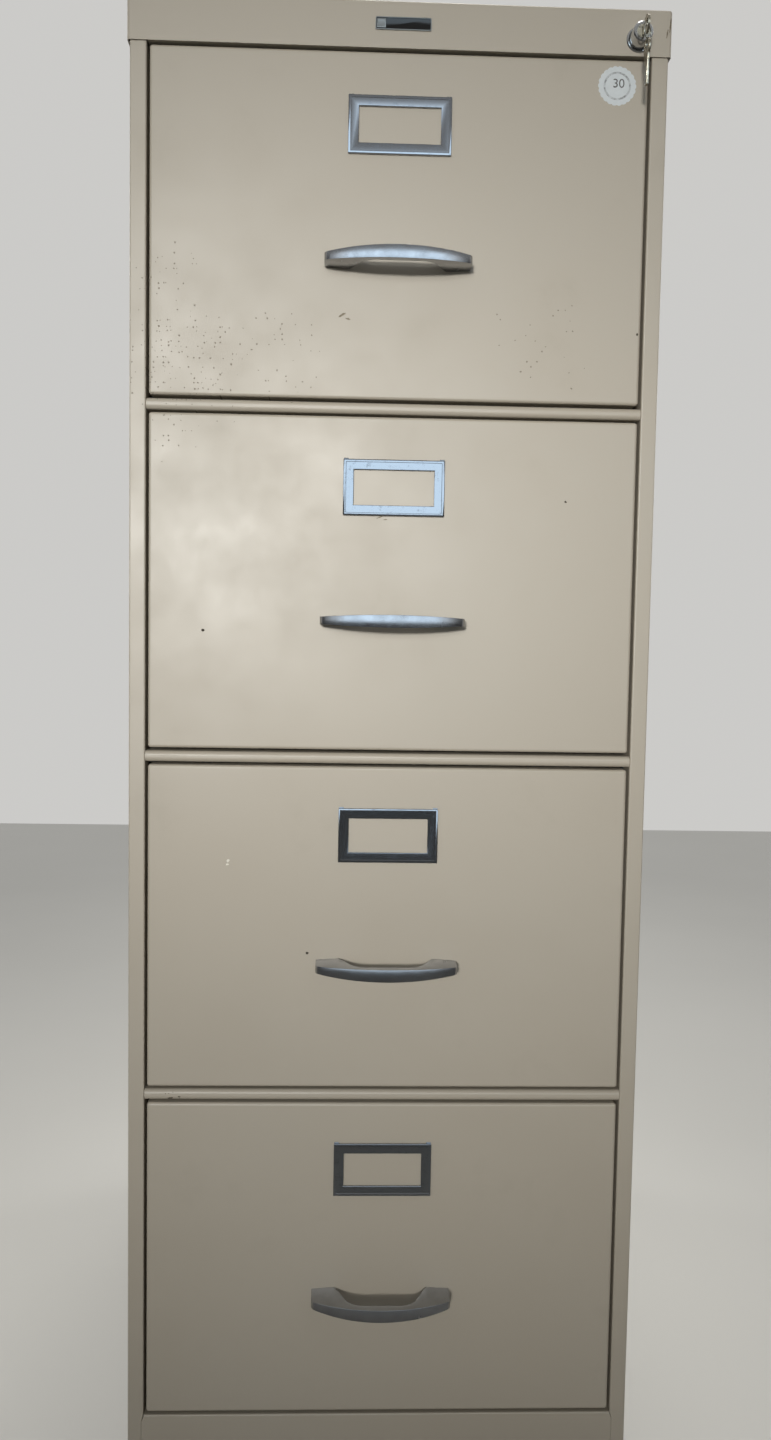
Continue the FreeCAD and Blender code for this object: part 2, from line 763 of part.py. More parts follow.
def drawer_channels(index):
    rails = piece("drawer_channels_%d" % index, drawer_level(index))
    gauge = S.rail_gauge
    low = cradle_axis - S.roller_radius
    high = cradle_axis + run_height
    wing = cradle_inner - S.flange_tip_gap
    wing_end = drawer_rear_axis - S.roller_radius - S.stop_gauge
    webs = []
    wings = []
    for side in (-1, 1):
        left, right = span(side, tray_half, drawer_web_outer)
        webs.append(rectangle(left, right, low, high + gauge))
        left, right = span(side, drawer_web_outer, wing)
        wings.append(rectangle(left, right, high, high + gauge))
    boss(rails, "XZ", tray_front, drawer_channel_rear, *webs)
    boss(rails, "XZ", tray_front, wing_end, *wings)
    boss(rails, "XZ", lug_front, lug_front + S.lug_gauge,
         rectangle(drawer_web_outer, wing, high + gauge, high + gauge + S.lug_height))
    for side in (-1, 1):
        pins(rails, side, drawer_web_outer, 1, [(drawer_rear_axis, cradle_axis)])


def drawer_rollers(index):
    outer = drawer_web_outer + S.roller_side_gap
    rollers("drawer_rollers_%d" % index, drawer_level(index),
            [(outer, outer + S.roller_width, [(drawer_rear_axis, cradle_axis)])])


# Drawers

def drawer_front(index):
    front = piece("drawer_front_%d" % index, drawer_level(index))
    wide = front_width / 2
    skin = S.skin
    boss(front, "XZ", 0, S.front_depth, rectangle(-wide, wide, 0, front_height))
    corners = [{"x": side * wide, "z": level} for side in (-1, 1) for level in (0, front_height)]
    soften(front, "Fillet", S.front_radius, {"y": 0}, *corners)
    cut(front, "XZ", skin, S.front_depth - skin,
        rectangle(-wide + skin, wide - skin, skin, front_height - skin))
    lip = skin + S.front_lip
    cut(front, "XZ", S.front_depth - 2 * skin, S.front_depth + skin,
        rectangle(-wide + lip, wide - lip, lip, front_height - lip))
    level = front_height - S.handle_drop
    cut(front, "XZ", -skin, 2 * skin,
        *[disc(side * S.screw_spacing / 2, level, S.screw_radius + S.screw_slack) for side in (-1, 1)])


def drawer_tray(index):
    """Drawer body: floor with a pressed track, hemmed sides, back, gussets and the inner front."""
    tray = piece("drawer_tray_%d" % index, drawer_level(index))
    skin = S.skin
    low = S.tray_floor
    rim = low + S.tray_side
    wide = tray_half
    crown = S.track_width / 2
    foot = crown + S.track_slope
    lift = low + S.track_rise
    front = tray_front
    hem = wide - S.hem_width
    right = [(wide, low), (wide, rim), (hem, rim), (hem, rim - S.hem_drop), (hem + skin, rim - S.hem_drop),
             (hem + skin, rim - skin), (wide - skin, rim - skin), (wide - skin, low + skin)]
    under = [(-foot, low), (-crown, lift), (crown, lift), (foot, low)]
    over = [(x, z + skin) for x, z in reversed(under)]
    left = [(-x, z) for x, z in reversed(right)]
    boss(tray, "XZ", front, tray_back, outline(under + right + over + left))
    boss(tray, "XZ", tray_back - skin, tray_back,
         outline(under + [(wide, low), (wide, rim), (-wide, rim), (-wide, low)]))
    boss(tray, "YZ", -wide + skin, wide - skin,
         rectangle(tray_back - skin, tray_back + S.back_hem, rim - skin, rim))
    head = front_width / 2 - S.head_inset
    boss(tray, "XZ", S.front_depth, front,
         rectangle(-head, head, low, front_height - S.head_margin))
    for side in (-1, 1):
        near, far = span(side, wide - skin, wide)
        boss(tray, "YZ", near, far, outline([
            (front, rim - skin), (front, rim + S.gusset_rise), (front + S.gusset_top, rim + S.gusset_rise),
            (front + S.gusset_top + S.gusset_run, rim - skin)]))
    slot = S.track_slot / 2
    track_end = tray_back - S.track_margin
    cut(tray, "XY", lift - skin, lift + 2 * skin, rectangle(-slot, slot, S.track_start, track_end))
    half_latch = S.latch_size / 2
    count = int((track_end.value - S.track_start.value) / S.latch_pitch.value)
    latches = []
    for step in range(1, count):
        middle = S.track_start + step * S.latch_pitch
        latches.append(rectangle(S.latch_offset - half_latch, S.latch_offset + half_latch,
                                 middle - half_latch, middle + half_latch))
    cut(tray, "XY", lift - skin, lift + 2 * skin, *latches)
    level = front_height - S.handle_drop
    cut(tray, "XZ", S.front_depth - skin, front + skin,
        *[disc(side * S.screw_spacing / 2, level, S.screw_access) for side in (-1, 1)])


def handle(index):
    """Cast pull: an arched plan between two pads, cut to a lens in front view."""
    pull = piece("handle_%d" % index, drawer_level(index) + front_height - S.handle_drop)
    wide = S.handle_width / 2
    high = S.handle_height / 2
    end = S.handle_end_height / 2
    boss(pull, "XY", -high, high, bow(wide, -S.handle_end, S.handle_end - S.handle_reach, 0))
    pad_edge = wide - S.handle_pad
    bar_rear = S.handle_bar - S.handle_reach
    cut(pull, "XY", -2 * high, 2 * high, outline([
        (-pad_edge, S.skin), (-S.handle_flat, bar_rear), (S.handle_flat, bar_rear), (pad_edge, S.skin)]))
    soften(pull, "Fillet", S.handle_arch,
           {"x": S.handle_flat, "y": bar_rear}, {"x": -S.handle_flat, "y": bar_rear})
    reach = -S.handle_reach - S.skin
    rise = high - end
    cut(pull, "XZ", reach, S.skin,
        bow(wide + S.skin, end, rise, 2 * high))
    cut(pull, "XZ", reach, S.skin,
        bow(wide + S.skin, -end, -rise, -2 * high))
    soften(pull, "Fillet", S.handle_corner, {"x": wide, "y": -S.handle_end}, {"x": -wide, "y": -S.handle_end})
    cut(pull, "XZ", -S.screw_length - S.screw_radius, S.skin,
        *[disc(side * S.screw_spacing / 2, 0, S.screw_radius + S.screw_slack) for side in (-1, 1)])


def handle_screws(index):
    screws = piece("handle_screws_%d" % index, drawer_level(index) + front_height - S.handle_drop)
    spots = [(side * S.screw_spacing / 2, 0) for side in (-1, 1)]
    boss(screws, "XZ", -S.screw_length, S.skin, *[disc(x, z, S.screw_radius) for x, z in spots])
    boss(screws, "XZ", S.skin, S.skin + S.screw_head_height, *[disc(x, z, S.screw_head) for x, z in spots])


def label_holder(index):
    """Stamped card frame: bevelled rim, stepped border, window, and a card pocket behind it."""
    frame = piece("label_holder_%d" % index, drawer_level(index) + front_height - S.label_drop)
    wide = S.label_width / 2
    tall = S.label_height
    depth = S.label_depth
    boss(frame, "XZ", -depth, 0, rectangle(-wide, wide, -tall, 0))
    soften(frame, "Chamfer", S.label_bevel, {"y": -depth})
    rim = S.label_rim
    cut(frame, "XZ", -depth - S.skin, S.label_step - depth,
        rectangle(-wide + rim, wide - rim, rim - tall, -rim))
    window = S.label_window_width / 2
    border = (tall - S.label_window_height) / 2
    cut(frame, "XZ", -depth, S.skin, rectangle(-window, window, border - tall, -border))
    card = wide - S.card_margin
    cut(frame, "XZ", -S.card_depth, S.skin, rectangle(-card, card, S.card_margin - tall, S.skin))


def follower(index):
    """Pressed block that holds the files up, with a foot that straddles the slot and a keeper below it."""
    block = piece("follower_%d" % index, drawer_level(index))
    wide = S.follower_width / 2
    place = tray_back - S.follower_setback
    track_top = S.tray_floor + S.track_rise + S.skin
    foot_low = track_top + S.follower_gap
    gauge = S.follower_gauge
    rear = place + gauge
    top = foot_low + S.follower_height
    foot = S.follower_foot_width / 2
    boss(block, "XZ", place, rear, rectangle(-wide, wide, foot_low, top))
    soften(block, "Fillet", S.follower_corner, {"x": wide, "z": top}, {"x": -wide, "z": top})
    cut(block, "XZ", place - gauge, rear + gauge,
        disc(0, top - 2 * S.follower_grip, S.follower_grip))
    for side in (-1, 1):
        near, far = span(side, wide - gauge, wide)
        boss(block, "YZ", near, far, rectangle(place, place + S.follower_flange,
                                               foot_low, top - S.follower_corner))
    boss(block, "XY", foot_low, foot_low + gauge,
         rectangle(-foot, foot, place - S.follower_foot, rear))
    for side in (-1, 1):
        near, far = span(side, foot - gauge, foot)
        boss(block, "YZ", near, far, outline([
            (place - S.follower_foot, foot_low), (place, foot_low),
            (place, foot_low + S.follower_foot)]))
    neck = S.follower_neck / 2
    neck_front = place - S.follower_keeper
    keeper_high = track_top - S.skin - S.follower_gap
    boss(block, "XY", keeper_high - gauge, foot_low,
         rectangle(-neck, neck, neck_front, place))
    boss(block, "XY", keeper_high - gauge, keeper_high,
         rectangle(-foot / 2, foot / 2, neck_front, place))


# Badge

def badge_plate():
    badge = piece("badge_plate")
    middle = S.case_height - S.badge_level
    left = S.badge_place - S.badge_width / 2
    right = S.badge_place + S.badge_width / 2
    low = middle - S.badge_height / 2
    high = middle + S.badge_height / 2
    front = -S.cap_lap - S.badge_gauge
    rim = S.badge_rim
    boss(badge, "XZ", front, -S.cap_lap, rectangle(left, right, low, high))
    corners = [{"x": side, "z": level} for side in (left, right) for level in (low, high)]
    soften(badge, "Fillet", S.bend_radius, *corners)
    cut(badge, "XZ", front - S.skin, front + S.badge_field,
        rectangle(left + rim, right - rim, low + rim, high - rim))


# Lock

def lock_housing():
    housing = piece("lock_housing", 0.0, (lock_place, size(0), lock_level))
    fascia = -S.cap_lap
    bore = disc(0, 0, S.plunger_radius + S.slide_slack)
    boss(housing, "XZ", fascia - S.collar_depth, fascia, disc(0, 0, S.collar_radius), bore)
    soften(housing, "Chamfer", S.collar_depth / 2, {"y": fascia - S.collar_depth})
    boss(housing, "XZ", fascia, S.barrel_depth, disc(0, 0, S.barrel_radius), bore)
    boss(housing, "XZ", fascia + S.skin, fascia + S.skin + S.nut_depth, disc(0, 0, S.nut_radius), bore)


def lock_plunger():
    """Push button of the lock; its cross pin drives the lock bar."""
    plunger = piece("lock_plunger", 0.0, (lock_place, size(0), lock_level))
    boss(plunger, "XZ", plunger_face, S.plunger_tail, disc(0, 0, S.plunger_radius))
    soften(plunger, "Chamfer", S.plunger_chamfer, {"y": plunger_face})
    cut(plunger, "XZ", plunger_face - S.skin, plunger_face + S.plug_length + S.slide_slack,
        disc(0, 0, S.plug_radius + S.slide_slack))
    tongue = S.tongue_half
    boss(plunger, "XZ", S.plunger_tail, cam_pin_place + tongue, rectangle(-tongue, tongue, -tongue, tongue))
    outer = post_inner + S.skin + S.bar_gap + S.bar_gauge - lock_place
    boss(plunger, "YZ", 0, outer + S.bar_gap, disc(cam_pin_place, 0, S.cam_pin_radius))


def lock_plug():
    plug = piece("lock_plug", 0.0, (lock_place, size(0), lock_level))
    face = plunger_face + S.plug_recess
    across = (S.key_gauge / 2) + S.keyway_slack
    up = S.blade_width / 2 + S.keyway_slack
    boss(plug, "XZ", face, plunger_face + S.plug_length, disc(0, 0, S.plug_radius),
         rectangle(-across, across, -up, up))


def lock_key():
    """Flat key, drawn hanging from its hole and laid into the lock: bow, shoulder and a notched blade."""
    body = piece("lock_key", 0.0, (lock_place, key_hole, lock_level))
    body.Placement.Rotation = FreeCAD.Rotation(FreeCAD.Vector(1, 0, 0), 90)
    thick = S.key_gauge / 2
    middle = -S.bow_hole_offset
    boss(body, "YZ", -thick, thick, disc(0, middle, S.bow_radius))
    top = middle - S.bow_radius + S.shoulder_lap
    neck = middle - S.bow_radius - S.shoulder_length
    tip = neck - S.blade_length
    wide = S.shoulder_width / 2
    blade = S.blade_width / 2
    bitten = blade - S.blade_bite
    teeth = []
    for notch in range(notch_count):
        start = neck - S.notch_start - notch * S.notch_pitch
        low = start - S.notch_slope
        teeth += [(blade, start), (bitten, low),
                  (bitten, low - S.notch_slope), (blade, low - 2 * S.notch_slope)]
    boss(body, "YZ", -thick, thick, outline(
        [(-wide, top), (wide, top), (wide, neck), (blade, neck)] + teeth
        + [(blade, tip + S.key_nose), (bitten, tip), (-blade, tip), (-blade, neck), (-wide, neck)]))
    cut(body, "YZ", -S.skin - thick, thick + S.skin, disc(0, 0, S.bow_hole))


def key_ring():
    """Ring through the bow of the key."""
    wire_top = lock_level - S.bow_hole + S.ring_wire + S.ring_gap
    ring = doc.addObject("Part::Torus", "key_ring")
    ring.Label = "key_ring"
    ring.setExpression("Radius1", S.ring_radius.text)
    ring.setExpression("Radius2", S.ring_wire.text)
    across = FreeCAD.Rotation(FreeCAD.Vector(0, 0, 1), ring_turn)
    ring.Placement.Rotation = across * FreeCAD.Rotation(FreeCAD.Vector(1, 0, 0), 90)
    ring.setExpression("Placement.Base.x", lock_place.text)
    ring.setExpression("Placement.Base.y", (centre_shift + key_hole).text)
    ring.setExpression("Placement.Base.z", (wire_top - S.ring_radius).text)
    pieces.append(ring)


def lock_bar():
    """Bar inside the right post: cam plate with its slanted slot on top, one hook for each drawer."""
    bar = piece("lock_bar")
    near = post_inner + S.skin + S.bar_gap
    far = near + S.bar_gauge
    lowest = drawer_level(drawer_count) + S.hook_level
    margin = S.cam_plate_margin
    top = lock_level + S.plunger_travel + margin
    plate_low = lock_level - margin
    plate_rear = cam_pin_place + S.plunger_travel + S.cam_pin_radius + margin
    front = S.skin + S.bar_setback
    rear = front + S.bar_width
    boss(bar, "YZ", near, far, outline([
        (front, lowest - S.bar_margin), (rear, lowest - S.bar_margin), (rear, plate_low),
        (plate_rear, plate_low), (plate_rear, top), (front, top)]))
    slack = (S.cam_pin_radius + S.cam_slack) / math.sqrt(2)
    start = cam_pin_place
    end = cam_pin_place + S.plunger_travel
    low = lock_level
    high = lock_level + S.plunger_travel
    over = S.cam_pin_radius
    cut(bar, "YZ", near - S.skin, far + S.skin, outline([
        (start - over - slack, low - over + slack), (start - over + slack, low - over - slack),
        (end + over + slack, high + over - slack), (end + over - slack, high + over + slack)]))
    arms = []
    tips = []
    for index in range(1, drawer_count + 1):
        level = drawer_level(index) + S.hook_level
        arms.append(rectangle(rear - S.skin, hook_front + S.hook_gauge, level, level + S.hook_height))
        tips.append(rectangle(drawer_web_outer + S.hook_gap, far, level, level + S.hook_height))
    boss(bar, "YZ", near, far, *arms)
    boss(bar, "XZ", hook_front, hook_front + S.hook_gauge, *tips)


side_panel(-1, "side_panel_left")
side_panel(1, "side_panel_right")
back_panel()
top_cap()
base_panel()
bottom_pan()
cross_rails()
uprights()
glides()
case_channels(-1, "case_channels_left")
case_channels(1, "case_channels_right")
case_rollers()
badge_plate()
lock_housing()
lock_plunger()
lock_plug()
lock_key()
key_ring()
lock_bar()
for number in range(1, drawer_count + 1):
    drawer_front(number)
    drawer_tray(number)
    handle(number)
    handle_screws(number)
    label_holder(number)
    drawer_channels(number)
    drawer_rollers(number)
    cradle(number)
    cradle_rollers(number)
    follower(number)

doc.recompute()

failed = [item.Label for item in doc.Objects if "Invalid" in item.State or "Error" in item.State]
if failed:
    raise ValueError("failed: " + ", ".join(failed))

os.makedirs("parts", exist_ok=True)
for item in pieces:
    shape = item.Shape
    if shape.isNull() or not shape.isValid() or not shape.Solids:
        raise ValueError("bad shape: " + item.Label)
    shape.exportStep("parts/%s.step" % item.Label)
print("%d sub-parts, %d solids" % (len(pieces), sum(len(item.Shape.Solids) for item in pieces)))
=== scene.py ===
import bpy, bmesh, json, math
from mathutils import Matrix, Vector

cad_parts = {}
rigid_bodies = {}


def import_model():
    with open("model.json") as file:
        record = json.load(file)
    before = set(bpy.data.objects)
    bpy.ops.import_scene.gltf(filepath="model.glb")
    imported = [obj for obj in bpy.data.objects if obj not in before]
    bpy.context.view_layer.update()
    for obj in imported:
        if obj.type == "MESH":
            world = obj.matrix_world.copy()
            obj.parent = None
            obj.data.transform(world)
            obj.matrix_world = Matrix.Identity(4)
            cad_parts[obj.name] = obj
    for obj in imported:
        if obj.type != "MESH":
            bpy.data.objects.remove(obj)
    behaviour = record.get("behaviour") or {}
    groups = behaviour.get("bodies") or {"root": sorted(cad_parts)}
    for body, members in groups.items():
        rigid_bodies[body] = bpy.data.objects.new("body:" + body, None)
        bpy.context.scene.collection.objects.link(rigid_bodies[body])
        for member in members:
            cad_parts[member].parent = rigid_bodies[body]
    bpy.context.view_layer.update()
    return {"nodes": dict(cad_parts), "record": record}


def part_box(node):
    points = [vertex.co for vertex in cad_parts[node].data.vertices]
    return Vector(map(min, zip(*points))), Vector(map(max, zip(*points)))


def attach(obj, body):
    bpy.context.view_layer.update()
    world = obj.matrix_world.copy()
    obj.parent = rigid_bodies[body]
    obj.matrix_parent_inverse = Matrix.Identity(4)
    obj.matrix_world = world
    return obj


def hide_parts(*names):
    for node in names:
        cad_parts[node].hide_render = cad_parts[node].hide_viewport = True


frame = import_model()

nodes = frame["nodes"]
mm = 0.001
weld = 0.005 * mm                 # points closer than this are merged
hair = 0.01 * mm                  # slack when a place is compared
smoothAngle = math.radians(32)
drawers = (1, 2, 3, 4)
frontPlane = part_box("side_panel_right")[0].y      # posts, rails and drawer fronts share it


def middle(node):
    low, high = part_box(node)
    return (low + high) / 2


# Stage, camera and light

print("stage")

stage = {
    "floorSize": 7.0,
    "floor": "A6A5A1", "floorCloud": "9F9E9A", "roomColour": "FFFEFB", "lampColour": "FFFDF8",
    "backdrop": 0.60,          # what the camera sees behind the cabinet, 1 is white
    "room": 0.18,              # what falls on the cabinet from all round
    # the room behind the camera, as metal reflects it: dim low down, a bright band at window height, a
    # grey ceiling
    "dimWall": 0.07, "band": 2.6, "ceiling": 0.34, "bandColour": "D3E6F4",
    # edges of the band in the direction of the ray: axis, start and end of the ramp, value at the start
    "bandEdges": [("Z", -0.06, 0.01, 0.0), ("Z", 0.285, 0.35, 1.0), ("Y", -0.35, -0.78, 0.0)],
    "lift": 0.70,              # glow that keeps the floor pale for the camera alone
}
camera = {
    "place": (-45.56, -1414.23, 793.32),     # mm
    "lean": (4.25726, -2.17419, 0.80391),    # degrees: pitch, yaw, roll against a level view along +Y
    "lens": 31.25,                           # mm, on a sensor 36 mm high
}
lamps = {
    "key": {"place": (-0.90, -6.0, 1.52), "aim": (0.0, -0.3, 0.84), "size": (0.70, 0.34), "watts": 2.9,
            "spread": 20},
    "upper": {"place": (-0.95, -6.0, 2.10), "aim": (0.0, -0.3, 0.86), "size": (0.34, 0.34), "watts": 0.45,
              "spread": 20},
    "leftFill": {"place": (-2.6, 1.3, 1.4), "aim": (-0.24, 0.25, 0.8), "size": (1.4, 1.4), "watts": 3.4,
                 "spread": 42},
    "rightFill": {"place": (2.6, 1.5, 1.4), "aim": (0.24, 0.25, 0.8), "size": (1.4, 1.4), "watts": 2.9,
                  "spread": 42},
    "backFill": {"place": (0.4, 3.0, 1.7), "aim": (0.0, 0.3, 0.7), "size": (1.6, 1.6), "watts": 9,
                 "spread": 80},
    "topFill": {"place": (0.1, 0.3, 2.9), "aim": (0.0, 0.1, 1.3), "size": (0.8, 0.8), "watts": 1.6,
                "spread": 34},
}


def hexColour(text):
    channels = [int(text[i:i + 2], 16) / 255 for i in (0, 2, 4)]
    linear = [c / 12.92 if c <= 0.04045 else ((c + 0.055) / 1.055) ** 2.4 for c in channels]
    return (*linear, 1.0)


def cell(size):
    return 1 / (size * mm)        # texture scale whose cells measure this many mm


def addNode(tree, kind, settings=None, **links):
    node = tree.nodes.new("ShaderNode" + kind)
    for name, value in (settings or {}).items():
        setattr(node, name, value)
    for name, value in links.items():
        key = int(name[1:]) if name[0] == "i" and name[1:].isdigit() else name.replace("_", " ")
        socket = node.inputs[key]
        if isinstance(value, bpy.types.NodeSocket):
            tree.links.new(value, socket)
        else:
            socket.default_value = value
    return node


def startMaterial(name, **settings):
    material = bpy.data.materials.new(name)
    material.use_nodes = True
    tree = material.node_tree
    shader = tree.nodes["Principled BSDF"]
    for socket, value in settings.items():
        shader.inputs[socket.replace("_", " ")].default_value = value
    place = addNode(tree, "TexCoord")
    return material, tree, shader, place.outputs["Object"]


def mottle(tree, shader, mask, tones, rough, span=(0.3, 0.7)):
    # the mask leads the colour from one tone to another, and the roughness between two values
    colour = addNode(tree, "Mix", {"data_type": "RGBA"}, i0=mask, i6=hexColour(tones[0]),
                     i7=hexColour(tones[1]))
    tree.links.new(colour.outputs[2], shader.inputs["Base Color"])
    gloss = addNode(tree, "MapRange", Value=mask, i1=span[0], i2=span[1], i3=rough[0], i4=rough[1])
    tree.links.new(gloss.outputs["Result"], shader.inputs["Roughness"])


def deselect():
    if bpy.context.object and bpy.context.object.mode != "OBJECT":
        bpy.ops.object.mode_set(mode="OBJECT")
    bpy.ops.object.select_all(action="DESELECT")


def makeFloor():
    deselect()
    bpy.ops.mesh.primitive_plane_add(size=stage["floorSize"], location=(0, 0, 0))
    floor = bpy.context.object
    floor.name = "studio_floor"
    material, tree, shader, place = startMaterial("painted studio floor", Roughness=0.85)
    cloud = addNode(tree, "TexNoise", Vector=place, Scale=cell(625), Detail=3.0)
    tone = addNode(tree, "Mix", {"data_type": "RGBA"}, i0=cloud.outputs["Fac"],
                   i6=hexColour(stage["floor"]), i7=hexColour(stage["floorCloud"]))
    tree.links.new(tone.outputs[2], shader.inputs["Base Color"])
    tree.links.new(tone.outputs[2], shader.inputs["Emission Color"])
    ray = addNode(tree, "LightPath")
    glow = addNode(tree, "Math", {"operation": "MULTIPLY"}, i0=ray.outputs["Is Camera Ray"], i1=stage["lift"])
    tree.links.new(glow.outputs[0], shader.inputs["Emission Strength"])
    floor.data.materials.append(material)


def makeRoom():
    world = bpy.data.worlds.new("studio")
    bpy.context.scene.world = world
    world.use_nodes = True
    tree = world.node_tree
    background = tree.nodes["Background"]
    ray = addNode(tree, "LightPath")
    direction = addNode(tree, "SeparateXYZ", Vector=addNode(tree, "TexCoord").outputs["Generated"])
    # in metal the wall behind the cabinet is pale, and the room behind the camera has its bright band
    edges = []
    for axis, start, end, first in stage["bandEdges"]:
        edge = addNode(tree, "MapRange", {"interpolation_type": "SMOOTHSTEP"}, Value=direction.outputs[axis],
                       i1=start, i2=end, i3=first, i4=1.0 - first)
        edges.append(edge.outputs["Result"])
    tall = addNode(tree, "Math", {"operation": "MULTIPLY"}, i0=edges[0], i1=edges[1])
    band = addNode(tree, "Math", {"operation": "MULTIPLY"}, i0=tall.outputs[0], i1=edges[2])
    upper = addNode(tree, "MapRange", {"interpolation_type": "SMOOTHSTEP"}, Value=direction.outputs["Z"],
                    i1=0.0, i2=0.45, i3=stage["dimWall"], i4=stage["ceiling"])
    behind = addNode(tree, "Mix", {"data_type": "FLOAT"}, i0=band.outputs[0], i2=upper.outputs["Result"],
                     i3=stage["band"])
    turned = addNode(tree, "MapRange", {"interpolation_type": "SMOOTHSTEP"}, Value=direction.outputs["Y"],
                     i1=-0.25, i2=0.35, i3=0.0, i4=1.0)
    wall = addNode(tree, "Mix", {"data_type": "FLOAT"}, i0=turned.outputs["Result"], i2=behind.outputs[0],
                   i3=stage["backdrop"])
    seen = addNode(tree, "Mix", {"data_type": "FLOAT"}, i0=ray.outputs["Is Camera Ray"],
                   i2=wall.outputs[0], i3=stage["backdrop"])
    plain = addNode(tree, "Math", {"operation": "MAXIMUM"}, i0=ray.outputs["Is Glossy Ray"],
                    i1=ray.outputs["Is Transmission Ray"])
    shown = addNode(tree, "Math", {"operation": "MAXIMUM"}, i0=plain.outputs[0],
                    i1=ray.outputs["Is Camera Ray"])
    strength = addNode(tree, "Mix", {"data_type": "FLOAT"}, i0=shown.outputs[0],
                       i2=stage["room"], i3=seen.outputs[0])
    cool = addNode(tree, "Math", {"operation": "MULTIPLY"}, i0=band.outputs[0], i1=plain.outputs[0])
    tint = addNode(tree, "Mix", {"data_type": "RGBA"}, i0=cool.outputs[0], i6=hexColour(stage["roomColour"]),
                   i7=hexColour(stage["bandColour"]))
    tree.links.new(tint.outputs[2], background.inputs["Color"])
    tree.links.new(strength.outputs[0], background.inputs["Strength"])


def makeCamera():
    scene = bpy.context.scene
    scene.view_settings.view_transform = "Standard"
    lens = bpy.data.cameras.new("camera")
    lens.lens = camera["lens"]
    lens.sensor_fit = "VERTICAL"
    lens.sensor_height = 36
    lens.clip_start = 0.01
    eye = bpy.data.objects.new("camera", lens)
    scene.collection.objects.link(eye)
    pitch, yaw, roll = [math.radians(a) for a in camera["lean"]]
    turn = Matrix.Rotation(roll, 3, "Z") @ Matrix.Rotation(yaw, 3, "Y") @ Matrix.Rotation(pitch, 3, "X")
    right, down, ahead = turn @ Matrix(((1, 0, 0), (0, 0, -1), (0, 1, 0)))
    facing = Matrix((right, -down, -ahead)).transposed().to_4x4()
    eye.matrix_world = Matrix.Translation(Vector(camera["place"]) * mm) @ facing
    scene.camera = eye


def makeLamps():
    for name, lamp in lamps.items():
        light = bpy.data.lights.new(name, "AREA")
        light.shape = "RECTANGLE"
        light.size, light.size_y = lamp["size"]
        light.energy = lamp["watts"]
        light.spread = math.radians(lamp["spread"])
        light.color = hexColour(stage["lampColour"])[:3]
        holder = bpy.data.objects.new(name, light)
        bpy.context.scene.collection.objects.link(holder)
        holder.location = lamp["place"]
        aim = Vector(lamp["aim"]) - Vector(lamp["place"])
        holder.rotation_euler = aim.to_track_quat("-Z", "Y").to_euler()


makeFloor()
makeRoom()
makeCamera()
makeLamps()


# Finishes

print("finishes")

enamel = {
    "putty": "B7B1A5",
    "warm": "B6AD9E",
    "grime": "7A6E5B",
    "bare": "6A6055",
    "peel": 2.6,               # mm: orange peel of a sprayed coat, drawn coarser than the real 1.5 mm
    "spacing": 4.4,            # mm between the flecks in a patch
    "tear": 1.4,               # mm: how far noise tears their edges
    "markDepth": 12,           # mm that a mark reaches behind the front plane, so round the folds too
    # patches where the coat is flecked with chips: x, z, radius, share of flecks
    "flecked": [(-182, 1020, 74, 1.0), (-196, 1088, 38, 0.7), (-190, 958, 30, 0.7), (-221, 1032, 22, 0.8),
                (-104, 1022, 52, 0.35), (130, 1040, 56, 0.22), (-190, 371, 12, 0.7)],
    # single chips and scratches down to the steel or the primer: x, z, half length, half width, turn, colour
    "marks": [(-164.3, 788.0, 1.5, 1.3, 0, "3E382F"), (-70.3, 502.3, 1.3, 1.2, 0, "3E382F"),
              (-141.1, 584.8, 1.6, 1.1, 60, "E9E6DC"), (-141.6, 581.6, 1.2, 0.9, 0, "E9E6DC"),
              (209.0, 1050.0, 1.1, 1.0, 0, "4A4338"), (150.5, 905.0, 0.9, 0.9, 0, "4A4338"),
              (-47.0, 1060.0, 3.6, 0.8, 28, "8F8675"), (-42.0, 1057.0, 2.2, 0.6, -15, "8F8675"),
              (-11.5, 888.7, 3.4, 0.5, 24, "857B69"), (-7.0, 886.6, 1.6, 0.4, 8, "857B69"),
              (-191.0, 369.0, 2.6, 0.9, 12, "5A5144"), (-183.0, 370.5, 1.2, 0.8, 0, "5A5144"),
              (229.0, 1308.0, 6.5, 0.6, 84, "7A705E"), (226.5, 1301.0, 4.0, 0.5, 80, "7A705E"),
              (231.0, 1316.0, 3.0, 0.5, 92, "7A705E")],
}


